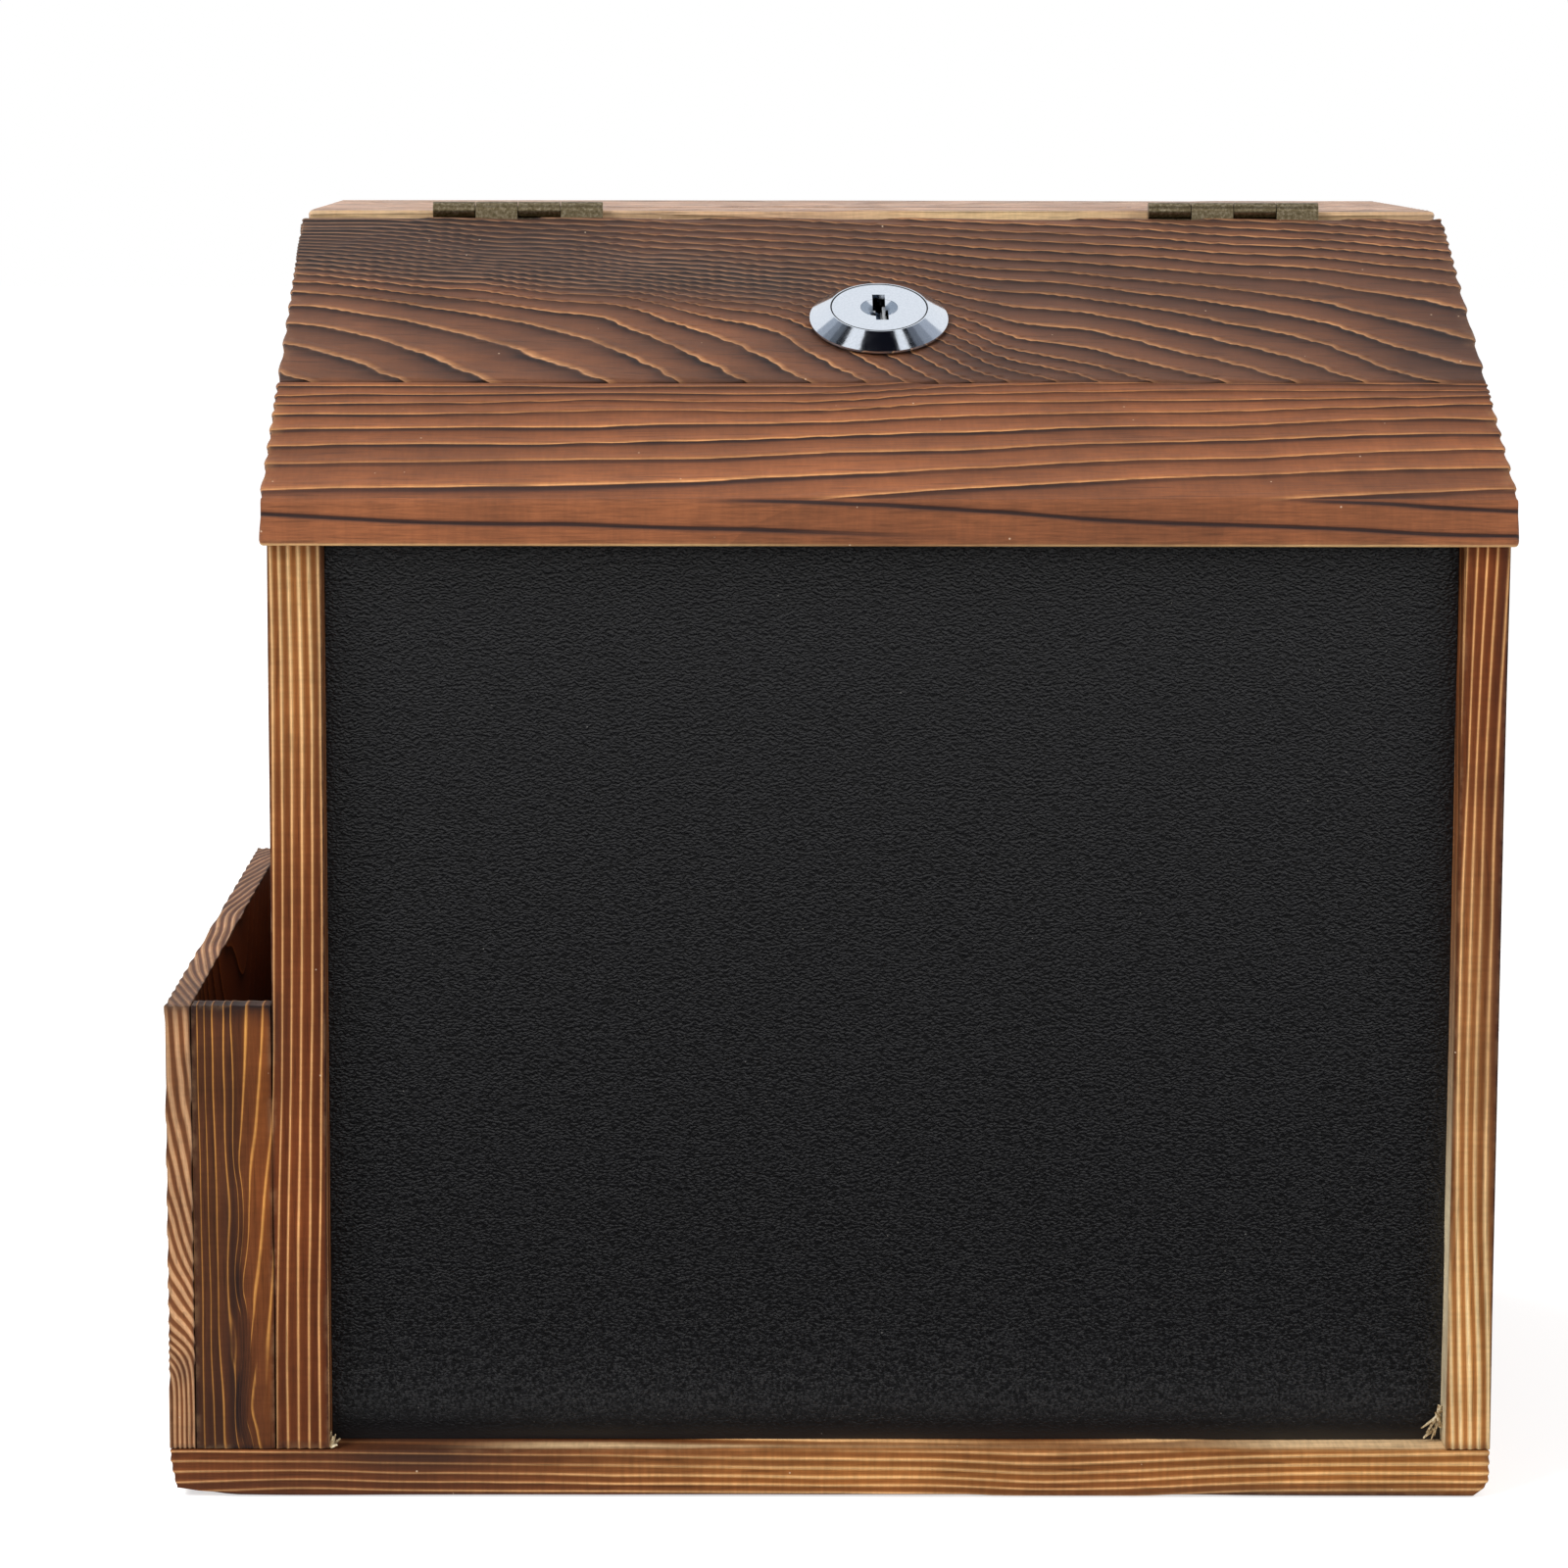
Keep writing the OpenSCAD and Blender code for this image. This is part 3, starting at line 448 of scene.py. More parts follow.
lidTilt = math.radians(26)
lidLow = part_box("lid_lower_board")[0]
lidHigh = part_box("lid_upper_board")[1]
lidSettings = {
    "thick": 9.0, "join": 48.4, "arris": 0.9, "cell": 0.72, "relief": 0.4, "endRelief": 0.7, "crowdFrom": 0.22, "crowdTo": 0.5,
    # grain lines of the upper board: (x, distance down the slope from the rear arris)
    "upperLines": {
        0: [(0, 70), (4, 73)],
        1: [(0, 57.5), (6.7, 60.4), (13.3, 63.8), (19.2, 67.5), (24, 72.5)],
        2: [(0, 48.6), (12.5, 52.9), (26.7, 59.6), (33.3, 64.2), (42, 73)],
        3: [(0, 42), (16.7, 45.8), (33.3, 51.4), (50, 60.7), (63.3, 69.2), (67, 73)],
        4: [(0, 35.4), (18.3, 38.3), (37.5, 43.9), (56.7, 51.8), (72.5, 61.3), (83.5, 72.8)],
        5: [(0, 30.8), (16.7, 33.3), (37.5, 39), (56.7, 43.9), (73.3, 51.7), (87.5, 63.3), (97.5, 73)],
        6: [(0, 26.5), (20.8, 30.7), (41.7, 35.2), (60, 39.6), (79.2, 46.7), (95.8, 57.5), (110, 73)],
        7: [(0, 24), (41.7, 30), (66.7, 35.8), (80, 39.8), (98.3, 50), (111.7, 61.7), (123.3, 73)],
        8: [(0, 21.8), (41.7, 28.3), (75, 34.6), (104.2, 44.2), (114, 52)],
        10: [(0, 18), (41.7, 24.8), (75, 30.7), (104.2, 37.7), (136, 64), (144, 73)],
        12: [(0, 15.2), (41.7, 22), (75, 27.8), (104.2, 33.8), (145.5, 60), (155.5, 70), (163, 73)],
        14: [(0, 12.5), (41.7, 19.3), (75, 25), (104.2, 30.2), (143, 49.2), (151.3, 59.2), (163.8, 64.2), (180.5, 72.5)],
        16: [(0, 10), (41.7, 16.3), (75, 21.8), (104.2, 25.8), (141.3, 40), (154.7, 47.9), (170.5, 50.4), (187, 59.2), (203.8, 67.5), (212, 72.5)],
        18: [(0, 6.7), (41.7, 12.1), (75, 17), (104.2, 20.8), (139.7, 28.8), (164.7, 35.4), (185.5, 41.7), (202, 48.3), (222, 57.5), (239.7, 72.5)],
        20: [(0, 3.3), (41.7, 7.1), (75, 11.2), (104.2, 15), (143.8, 22.5), (181.3, 28.8), (210.5, 35), (231.3, 44.2), (254, 55.8)],
        22: [(0, 0.4), (41.7, 1.5), (75, 4.6), (104.2, 7.5), (143.8, 13.3), (185.5, 17.9), (223, 23.3), (254, 32)],
        24: [(75, -1), (104.2, 1), (143.8, 5), (181.3, 9), (223, 14), (254, 20)],
        26: [(143.8, -1.5), (185.5, 1.5), (223, 6.5), (254, 12)],
        28: [(200, -3), (254, 5)],
    },
    # grain lines of the lower board
    "lowerLines": {
        10: [(0, 76.3), (66, 77), (127, 75.8), (254, 73.3)],
        9: [(0, 81), (127, 78.3), (254, 75.3)],
        8: [(0, 83.8), (66, 82), (133, 79.7), (254, 78.3)],
        7: [(0, 88.3), (33, 88), (83, 86.3), (133, 84.2), (183, 82), (254, 79.7)],
        6: [(0, 94.7), (66, 93.7), (117, 91.2), (167, 87.5), (217, 85.3), (254, 83.3)],
        5: [(0, 101.7), (50, 100.5), (100, 98.3), (150, 95), (200, 92.5), (254, 90)],
        4: [(0, 108.3), (58, 106.7), (117, 103.3), (167, 100), (200, 98.3), (254, 95.8)],
        3: [(0, 118.6), (27, 117.6), (57, 116.9), (86, 115.3), (106, 113.6), (126, 112), (150, 109.8), (200, 106), (254, 102)],
        2: [(86, 140), (93, 131), (101, 126), (112, 122.5), (126, 120.2), (146, 117.4), (169, 115), (186, 113.4), (206, 112), (254, 109.5)],
        1: [(186, 142), (194, 129), (202, 122.6), (219, 120.7), (237, 118.8), (254, 117.8)],
    },
    # the lower board's scorched strokes, running over its front arris
    "strokeLines": {
        0: [(0, 125.8), (13, 126.5), (27, 127.3), (62, 127.8), (94, 128.7), (110, 129.4), (126, 130.1), (151, 130.9), (254, 135)],
        1: [(0, 120), (50, 122.2), (87, 123), (100, 123), (112, 123.2), (126, 123.7), (145, 125.1), (168, 126.8), (200, 128), (233, 129.6), (254, 129.9)],
        2: [(0, 114), (120, 118.2), (202, 122.5), (229, 123.5), (254, 125.2)],
    },
    # each stroke's start, end and depth of tone along the board
    "strokeSpans": {0: (-20, 125, 1.0), 1: (82, 275, 1.0), 2: (198, 275, 1.0)},
    "upperBurns": [(45, 10, 70, 14, 0.3), (150, 66, 26, 10, 0.5), (165, 38, 60, 16, 0.3), (254, 60, 22, 30, 0.5), (85, 25, 40, 10, 0.2), (0, 20, 10, 30, 0.2)],
    "lowerBurns": [(50, 76, 60, 4, 0.25), (127, 76, 30, 5, 0.25), (254, 90, 8, 40, 0.1)],
}
lidLength = (lidHigh.y - lidLow.y) / math.cos(lidTilt) / mm
lidWidth = (lidHigh.x - lidLow.x) / mm
lidFrame = Matrix.Translation((lidLow.x, lidLow.y, lidHigh.z - lidLength * mm * math.sin(lidTilt))) @ Matrix.Rotation(lidTilt, 4, "X")


def makeLidBoard(name, nodeName, start, end, grainLines, stretch, burns, kind, cutFront, cutRear):
    s = lidSettings
    piece = addBlock(name, (0, start * mm, -s["thick"] * mm), (lidWidth * mm, end * mm, 0))
    easeArrises(piece, s["arris"] * mm, 3)
    cutEvenly(piece, (s["cell"], s["cell"], 0.75))
    points = readPoints(piece) / mm
    # plumb saw cuts: the front and rear faces stand upright when the lid is closed
    lean = np.tan(lidTilt) * points[:, 2]
    middle = (start + end) / 2
    span = (end - start) / 2
    pull = np.clip((points[:, 1] - middle) / span, -1, 1)
    cut = np.where(pull > 0, pull * cutRear, -pull * cutFront)
    points[:, 1] += lean * cut
    x, up, deep = points[:, 0], points[:, 1], -points[:, 2]
    field = ringField(grainLines, stretch)
    # the grain lines run on from the top face over the front arris and down the front face
    down = lidLength - up + (1 / math.cos(lidTilt) - math.tan(lidTilt)) * deep
    rings = field(x, down) + 0.05 / stretch * ripple(x, up * 3, 5, 24)
    crowd = np.abs(field(x, down + 0.5) - field(x, down - 0.5))
    burn = stain(x, down, burns) + 0.12 * ripple(x, up, 8, 60)
    ends = 1 - spread(np.minimum(x, lidWidth - x), 0.1, 0.9)
    low, high = (0, start, -s["thick"]), (lidWidth, end, 0)
    wear = edgeWear(points * mm, np.array(low) * mm, np.array(high) * mm)
    wear = np.where((np.abs(up - s["join"]) < 3) | (up < 4), 0, wear)
    # the saw left the front's lower arris pale
    frontFace = 1 - spread(up + deep * math.tan(lidTilt), 0.4, 1.6)
    strip = frontFace * spread(deep, 8.0, 8.6) * (0.7 + 0.4 * ripple(x, up * 0, 31, 90))
    calm = np.maximum(frontFace * spread(deep, 0.2, 1.2), spread(down, 121.6, 122.8) * (nodeName == "lid_lower_board"))
    strokes = ringField(s["strokeLines"])(x, down)
    shade = 0
    for number, (spanStart, spanEnd, tone) in s["strokeSpans"].items():
        along = spread(x, spanStart, spanStart + 22) * (1 - spread(x, spanEnd - 25, spanEnd + 25))
        shade = shade + tone * along * np.exp(-((strokes - number) / 0.3) ** 2) * spread(down, 121, 122.5)
    writePoints(piece, points * mm)
    writeWood(piece, rings, {
        "burn": burn + 0.35 * ends, "blend": spread(crowd, s["crowdFrom"], s["crowdTo"]), "wear": wear,
        "raw": strip, "calm": calm, "strokes": strokes, "strokeShade": shade})
    brushBoard(piece, rings, s["relief"] * (1 - 0.5 * spread(crowd, 0.3, 0.7)) * (1 - calm), endDepth=s["endRelief"])
    piece.data.transform(lidFrame)
    piece.data.update()
    finishBoard(piece, nodeName, "lid", kind)
    return piece


lidDarkWood = makeBurntPine("burntPineDarkLid", woodKinds["lidDark"])
lidBrownWood = makeBurntPine("burntPineBrownLid", woodKinds["lidBrown"])
upperBoard = makeLidBoard(
    "upperLidBoard", "lid_upper_board", lidSettings["join"], lidLength,
    lidSettings["upperLines"], 1.0, lidSettings["upperBurns"], lidDarkWood, 0, 1)
lowerBoard = makeLidBoard(
    "lowerLidBoard", "lid_lower_board", 0, lidSettings["join"],
    lidSettings["lowerLines"], 2.5, lidSettings["lowerBurns"], lidBrownWood, 1, 0)


def boreLid(piece):
    # the lock's hole, straight through the board
    ringLow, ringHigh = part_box("lock_trim_ring")
    centre = (ringLow + ringHigh) / 2
    bpy.ops.object.select_all(action="DESELECT")
    bpy.ops.mesh.primitive_cylinder_add(vertices=64, radius=9.2 * mm, depth=40 * mm, location=centre, rotation=(lidTilt, 0, 0))
    drill = bpy.context.active_object
    selectOnly(piece)
    bore = piece.modifiers.new("bore", "BOOLEAN")
    bore.operation, bore.solver, bore.object = "DIFFERENCE", "EXACT", drill
    bpy.ops.object.modifier_apply(modifier="bore")
    bpy.data.objects.remove(drill)


boreLid(upperBoard)
print("lid boards made")


# Upright boards. Grain lines are drawn on each board's narrow front edge, as ring number:
# (mm from the board's left face, height above the table), and the rings bend round a heart
# beside the board, so that its broad faces show long arches.

uprightSettings = {
    "leftSideBoard": {
        "crowded": 1.0, "sparse": 0.05, "node": "left_side_board", "slot": "side_wood", "cells": (0.42, 1.35, 1.35), "relief": 0.18, "arris": 0.3,
        "heart": 95, "radius": 230, "rise": 0.05, "squeeze": 0.15,
        "lines": {
            0: [(1.0, 180), (0.9, 150), (0.5, 95), (-0.5, 60), (-1.6, 11)],
            1: [(2.5, 197), (2.8, 163), (2.7, 136), (2.3, 102), (2.0, 84), (1.3, 64), (0.7, 41), (0.3, 11)],
            2: [(4.3, 197), (4.7, 170), (4.6, 136), (4.2, 102), (3.7, 80), (3.0, 55), (2.5, 29), (2.6, 11)],
            3: [(6.4, 197), (6.8, 167), (6.7, 140), (6.2, 102), (5.8, 80), (5.1, 55), (4.9, 29), (4.8, 11)],
            4: [(8.5, 197), (9.0, 163), (8.8, 136), (8.5, 102), (7.9, 80), (7.6, 55), (7.1, 29), (7.0, 11)],
            5: [(10.4, 197), (10.6, 159), (10.6, 124), (10.4, 102), (9.9, 68), (9.2, 41), (9.2, 11)],
            6: [(12.4, 160), (12.2, 102), (11.6, 60), (11.4, 11)],
        },
        "burns": [(3, 20, 8, 30, 0.25), (6, 100, 14, 34, 0.15), (11, 120, 1.2, 200, 0.25), (0, 98, 3, 10, 0.5)],
        "pales": [(6, 190, 9, 42, 0.55)], "raws": [],
    },
    "rightSideBoard": {
        "crowded": 1.0, "sparse": 0.05, "node": "right_side_board", "slot": "side_wood", "cells": (0.42, 1.35, 1.35), "relief": 0.18, "arris": 0.3,
        "heart": 110, "radius": 260, "rise": 0.06, "squeeze": 0.15,
        "lines": {
            1: [(0.4, 197), (0.0, 164), (-0.8, 130), (-1.0, 90), (-0.6, 60), (0.1, 45), (0.5, 33), (1.4, 14)],
            2: [(2.6, 199), (2.0, 176), (1.6, 152), (1.0, 130), (0.9, 100), (1.1, 74), (1.4, 58), (2.0, 41), (2.5, 25), (3.1, 10)],
            3: [(4.6, 199), (3.7, 172), (3.2, 152), (3.0, 135), (2.8, 104), (2.8, 80), (3.2, 58), (3.8, 41), (4.6, 25), (5.0, 10)],
            4: [(6.7, 199), (5.7, 172), (5.1, 152), (4.9, 128), (4.6, 100), (4.6, 76), (5.0, 57), (5.8, 41), (6.6, 25), (6.8, 10)],
            5: [(8.8, 192), (7.9, 170), (7.4, 152), (7.1, 137), (6.9, 104), (6.9, 76), (7.1, 57), (7.8, 41), (8.2, 33), (8.8, 11)],
            6: [(10.2, 150), (10.0, 110), (9.9, 80), (10.1, 57)],
        },
        "burns": [(9.8, 110, 2.6, 60, 0.7), (9.8, 190, 2.4, 40, 0.5), (10.4, 60, 1.6, 60, 0.5)],
        "pales": [(4, 15, 12, 55, 1.1), (3, 100, 4, 40, 0.35)], "raws": [(4, 20, 9, 55, 1.7)],
    },
    "pocketFrontBoard": {
        "crowded": 0.85, "sparse": 0.12, "node": "pocket_front_board", "slot": "pocket_wood", "cells": (0.3, 0.8, 0.8), "relief": 0.12, "arris": 0.25,
        "heart": 3, "radius": 40, "rise": 0.0, "squeeze": 0.2,
        "lines": {
            0: [(1.2, 101), (1.5, 72), (1.7, 45), (1.7, 11)],
            1: [(2.7, 95), (3.1, 58), (3.4, 41), (3.3, 31), (3.7, 20), (3.9, 11)],
            2: [(4.2, 101), (4.3, 85), (4.7, 70), (4.8, 56), (4.9, 37), (5.4, 26), (5.8, 11)],
            3: [(6.7, 101), (6.7, 84), (6.9, 70), (7.2, 56), (7.3, 37), (7.6, 29), (8.3, 22), (8.6, 11)],
            4: [(8.0, 101), (8.4, 82), (9.1, 66), (9.2, 55), (9.6, 39), (9.7, 29), (10.0, 11)],
            5: [(11.3, 101), (11.0, 93), (10.3, 82), (9.9, 76), (9.4, 69)],
            6: [(14.7, 101), (14.2, 93), (13.5, 84), (12.8, 76), (11.4, 60), (10.5, 49), (9.9, 43)],
            7: [(17.0, 102), (16.9, 93), (16.5, 80), (15.1, 68), (14.0, 55), (13.1, 47), (12.2, 39), (11.3, 31), (10.6, 22), (10.3, 16)],
            8: [(17.3, 60), (16.3, 49), (15.7, 41), (15.0, 33), (14.3, 26), (13.4, 18), (12.9, 11)],
        },
        "burns": [(8.0, 46, 1.3, 50, 0.7), (4, 14, 5, 26, 0.5), (8, 104, 14, 3.2, 1.0)],
        "pales": [(15, 75, 5.5, 70, 1.0)], "raws": [],
    },
    "pocketLongBoard": {
        "crowded": 3.0, "sparse": 0.02, "node": "pocket_side_board", "slot": "base_wood", "cells": (0.4, 1.2, 0.9), "relief": 0.3, "arris": 0.3,
        "heart": 100, "radius": 330, "rise": 0.0, "squeeze": 0.6,
        "lines": {
            1: [(4.3, 101), (4.7, 92), (5.4, 86), (6.4, 80)],
            0: [(2.3, 101), (2.9, 92), (3.5, 88), (4.7, 79), (5.8, 72)],
            -1: [(0.2, 101), (0.6, 87), (1.7, 80), (3.1, 74), (4.2, 68), (5.3, 62)],
            -2: [(-0.6, 84), (0.3, 79), (1.2, 73), (2.4, 68), (3.5, 63), (4.7, 58)],
            -3: [(0.2, 70), (0.9, 65), (2.1, 61), (3.2, 56), (5.2, 50)],
            -4: [(0.1, 62), (1.4, 58), (2.6, 53), (5.1, 47)],
            -5: [(0.2, 55), (2.1, 49), (5.1, 43)],
            -6: [(0.3, 48), (2.9, 44), (5.1, 40)],
            -7: [(0.3, 44), (2.8, 40), (5.2, 37)],
            -8: [(0.2, 40), (2.6, 37), (5.2, 33)],
            -9: [(0.1, 36), (2.3, 34), (5.1, 31)],
            -10: [(5.0, 22), (5.0, 11)],
            -11: [(4.0, 22), (4.1, 11)],
            -12: [(3.0, 23), (3.1, 11)],
            -13: [(2.0, 24), (2.1, 11)],
            -14: [(1.0, 25), (1.1, 11)],
        },
        "burns": [(3, 106, 6, 4, 0.4), (3, 27, 2, 3, 0.5)], "pales": [(3, 106, 8, 4, 1.0)], "raws": [],
    },
}
uprightSettings["pocketBackBoard"] = dict(
    uprightSettings["pocketFrontBoard"], node="pocket_back_board", cells=(0.5, 0.8, 0.8), burns=[(8, 60, 20, 90, 0.4)], pales=[])


def sideTop(y):
    # height of the side boards' top edge, under the lid and then level under the flat top
    frontHeight, levelHeight = 199.58, 254.0
    return np.minimum(frontHeight + y * math.tan(lidTilt), levelHeight)


def makeUpright(name, material):
    s = uprightSettings[name]
    low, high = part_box(s["node"])
    piece = addBlock(name, low, high)
    easeArrises(piece, s["arris"] * mm, 2)
    cutEvenly(piece, s["cells"])
    points = readPoints(piece) / mm
    low, high = np.array(low) / mm, np.array(high) / mm
    wear = edgeWear(points * mm, low * mm, high * mm)
    x, y, z = points[:, 0] - low[0], points[:, 1] - low[1], points[:, 2]
    if name in ("leftSideBoard", "rightSideBoard"):
        z = low[2] + (z - low[2]) / (high[2] - low[2]) * (sideTop(y) - low[2])
        points[:, 2] = z
    bow = (s["heart"] ** 2 - (y - s["heart"]) ** 2) / (2 * s["radius"])
    # stacked arches further in, as a board sawn near the bark shows
    bow = bow + (1.2 * ripple(y, z * 0.25, 3, 60) + s["rise"] * (z - 100)) * spread(y, 0, 60)
    field = ringField(s["lines"], s["squeeze"])
    rings = field(x + bow, z) + 0.03 * ripple(y, z, 7, 40) * spread(y, 0, 10)
    # where lines run together only the dark late wood is left
    crowd = np.abs(field(x + bow + 0.25, z) - field(x + bow - 0.25, z)) * 2
    calm = spread(crowd, s["crowded"], s["crowded"] * 1.5) + 1 - spread(crowd, s["sparse"], s["sparse"] * 2)
    inward = spread(y, 0, 50)
    burn = stain(x, z, s["burns"]) * (1 - 0.5 * inward) + 0.15 * ripple(y, z, 9, 70) * inward
    pale = stain(x, z, s["pales"]) * (1 - 0.6 * inward) + 0.2 * ripple(y, z, 10, 90) * inward
    raw = stain(y, z, s["raws"]) * (x < 0.4) * spread(y, 0.5, 0.9)
    # the outer arrises are burnt darkest, and the pocket's inside faces are darkened as painted shade
    inside = (x > high[0] - low[0] - 0.3) if name == "pocketLongBoard" else (x < 0.3) & (z < 103) & (name == "leftSideBoard")
    if name == "pocketLongBoard":
        # the pocket long board's inside face takes its darker other ramp: painted shade
        pale = np.where(inside, 0.9, pale)
        inside = 0 * inside
    burn = burn + 0.35 * inside * spread(y, 8, 10) + 0.5 * spread(crowd, s["crowded"], s["crowded"] * 1.5) + 0.5 * edgeWear(points * mm, low * mm, high * mm, 0.8)
    writePoints(piece, points * mm)
    flank = spread(np.minimum(y, high[1] - low[1] - y), 0.3, 1.2) * (z < sideTop(y) - 0.3 if "Side" in name else z < high[2] - 0.3)
    broadFaces = np.minimum(x, high[0] - low[0] - x) < 0.3
    writeWood(piece, rings, {
        "burn": burn, "blend": pale, "wear": 0.4 * wear, "raw": raw,
        "calm": calm * (1 - spread(y, 3, 6)), "flank": flank * broadFaces})
    brushBoard(piece, rings, s["relief"], crest=0.15, fall=0.12)
    finishBoard(piece, s["node"], "carcass", material)
    return piece


sideWood = makeBurntPine("burntPineSides", woodKinds["sideBrown"])
pocketWood = makeBurntPine("burntPinePocket", woodKinds["pocketBrown"])
longWood = makeBurntPine("burntPinePocketLong", woodKinds["pocketLong"])
baseWood = makeBurntPine("burntPineBase", woodKinds["baseBrown"])
for name, material in (
        ("leftSideBoard", sideWood), ("rightSideBoard", sideWood), ("pocketFrontBoard", pocketWood),
        ("pocketBackBoard", pocketWood), ("pocketLongBoard", longWood)):
    makeUpright(name, material)
print("side boards and pocket made")


# Bottom board: grain from left to right, its lower corners worn round

baseSettings = {
    "cells": (1.4, 1.4, 0.5), "arris": 0.6, "relief": 0.25,
    # grain lines on the front edge: (mm from the left end, height)
    "lines": {
        5: [(3, 9.4), (26, 9.2), (92, 8.6), (136, 7.9), (158, 7.7), (180, 6.9), (202, 7.6), (224, 8.4), (271, 9.2)],
        4: [(3, 7.4), (48, 7.1), (92, 6.7), (136, 6.1), (158, 5.9), (180, 4.9), (202, 5.7), (224, 6.5), (271, 6.9)],
        3: [(3, 5.1), (48, 4.7), (92, 4.1), (136, 3.7), (158, 3.9), (180, 2.9), (202, 3.5), (224, 4.5), (271, 4.7)],
        2: [(3, 2.7), (48, 3.1), (92, 2.5), (136, 2.1), (158, 2.3), (180, 1.3), (202, 1.9), (224, 2.7), (271, 2.9)],
        1: [(26, 1.7), (92, 1.1), (136, 0.9), (180, 0.3), (224, 1.2), (271, 1.6)],
    },
    "burns": [(12, 2, 26, 4, 0.35), (52, 8.5, 22, 4, 0.85), (60, 2, 30, 3, 0.3), (235, 0.5, 40, 1.6, 0.6)],
    "pales": [(140, 5, 50, 6, 0.75), (255, 6, 50, 8, 0.95)],
    # top face: (mm from the left end, mm from the front)
    "raws": [(84, 3.4, 16, 1.6, 1.3), (105, 2.4, 18, 1.3, 0.9), (150, 3, 40, 1.4, 0.3), (250, 4, 30, 8, 1.6)],
}


def makeBottom():
    s = baseSettings
    low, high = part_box("bottom_board")
    piece = addBlock("bottomBoard", low, high)
    easeArrises(piece, s["arris"] * mm, 2)
    cutEvenly(piece, s["cells"])
    points = readPoints(piece) / mm
    low, high = np.array(low) / mm, np.array(high) / mm
    wear = edgeWear(points * mm, low * mm, high * mm)
    x, y, z = points[:, 0] - low[0], points[:, 1] - low[1], points[:, 2]
    width, depth = high[0] - low[0], high[1] - low[1]
    # worn ends: the underside lifts a little towards the front corners
    under = 1 - spread(z, 0, 10)
    front = 1 - spread(y, 0, 30)
    lift = 1.5 * (1 - spread(x, 0, 14)) + 1.6 * (1 - spread(width - x, 0, 3.2))
    points[:, 2] = z + lift * under * front
    pull = (1.3 * (1 - spread(x, 0, 1.5)) * (1 - spread(z, 0, 9)) - 1.5 * (1 - spread(width - x, 0, 2)) * (1 - spread(z, 0, 4)))
    points[:, 0] += pull * front
    heart, radius = 120, 500
    bow = (heart * heart - (y - heart) ** 2) / (2 * radius)
    bow = bow + 1.5 * ripple(x * 0.3, y, 12, 60) * spread(y, 0, 40)
    rings = ringField(s["lines"], 3.0)(x, z + bow) + 0.03 * ripple(x, y, 13, 40)
    inward = spread(y, 0, 50)
    burn = stain(x, z, s["burns"]) * (1 - 0.6 * inward) + 0.15 * ripple(x, y, 14, 80) * inward
    pale = stain(x, z, s["pales"]) * (1 - 0.6 * inward) + 0.2 * ripple(x, y, 15, 90) * inward
    raw = stain(x, y, s["raws"]) * (z > 9.6) * spread(y, 0.6, 1.2)
    edges = edgeWear(np.stack([x, y, z], 1) * mm, (0, 0, 0), np.array((width, depth, 10)) * mm, 0.8)
    burn = burn + 0.5 * edges * (z < 9.3)
    writePoints(piece, points * mm)
    calm = (z > 9.6) * (1 - spread(y, 4.4, 6.5))
    writeWood(piece, rings, {"burn": burn, "blend": pale, "wear": 0.3 * wear * (x > 60), "raw": raw, "calm": calm})
    brushBoard(piece, rings, s["relief"], crest=0.15, fall=0.12)
    finishBoard(piece, "bottom_board", "carcass", baseWood)
    return piece


bottomBoard = makeBottom()
print("bottom board made")


# Flat top and back board: long grain from left to right

flatSettings = {
    "topLines": {
        0: [(0, -4), (120, -6), (252, -3)], 2: [(0, 8), (120, 5), (252, 9)], 5: [(0, 24), (120, 20), (252, 27)],
        9: [(0, 42), (90, 44), (180, 39), (252, 45)], 14: [(0, 62), (90, 66), (252, 60)], 18: [(0, 82), (120, 86), (252, 80)], 21: [(0, 100), (252, 98)],
    },
    "backLines": {
        0: [(0, -10), (230, -4)], 3: [(0, 24), (110, 30), (230, 22)], 7: [(0, 66), (70, 74), (150, 60), (230, 70)],
        10: [(0, 112), (60, 128), (120, 104), (230, 122)], 13: [(0, 160), (90, 172), (160, 150), (230, 166)], 17: [(0, 204), (120, 212), (230, 200)], 21: [(0, 246), (230, 240)],
    },
}


def makeFlatBoard(name, nodeName, lines, across, cells, relief, arris, depthRate, material, burns):
    low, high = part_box(nodeName)
    piece = addBlock(name, low, high)
    easeArrises(piece, arris * mm, 2)
    cutEvenly(piece, cells)
    points = readPoints(piece) / mm
    low, high = np.array(low) / mm, np.array(high) / mm
    wear = edgeWear(points * mm, low * mm, high * mm)
    a = points[:, 0] - low[0]
    b = points[:, across] - low[across]
    through = points[:, 3 - across] - low[3 - across]
    rings = ringField(lines)(a, b) + depthRate * through + 0.05 * ripple(a * 0.4, b, 21, 30)
    burn = stain(a, b, burns) + 0.15 * ripple(a, b, 22, 70)
    layers = {"burn": burn, "blend": 0.25 * ripple(a, b, 23, 90), "wear": 0.5 * wear, "flank": 1.0 * (a > -1)}
    if name == "flatTopBoard":
        layers["flank"] = 0 * a
        # its front face was sawn after the burning
        layers["raw"] = (1 - spread(b, 0.5, 1.0)) * (0.5 + 0.3 * ripple(a, a * 0, 32, 80))
    writeWood(piece, rings, layers)
    brushBoard(piece, rings, relief)
    finishBoard(piece, nodeName, "carcass", material)
    return piece
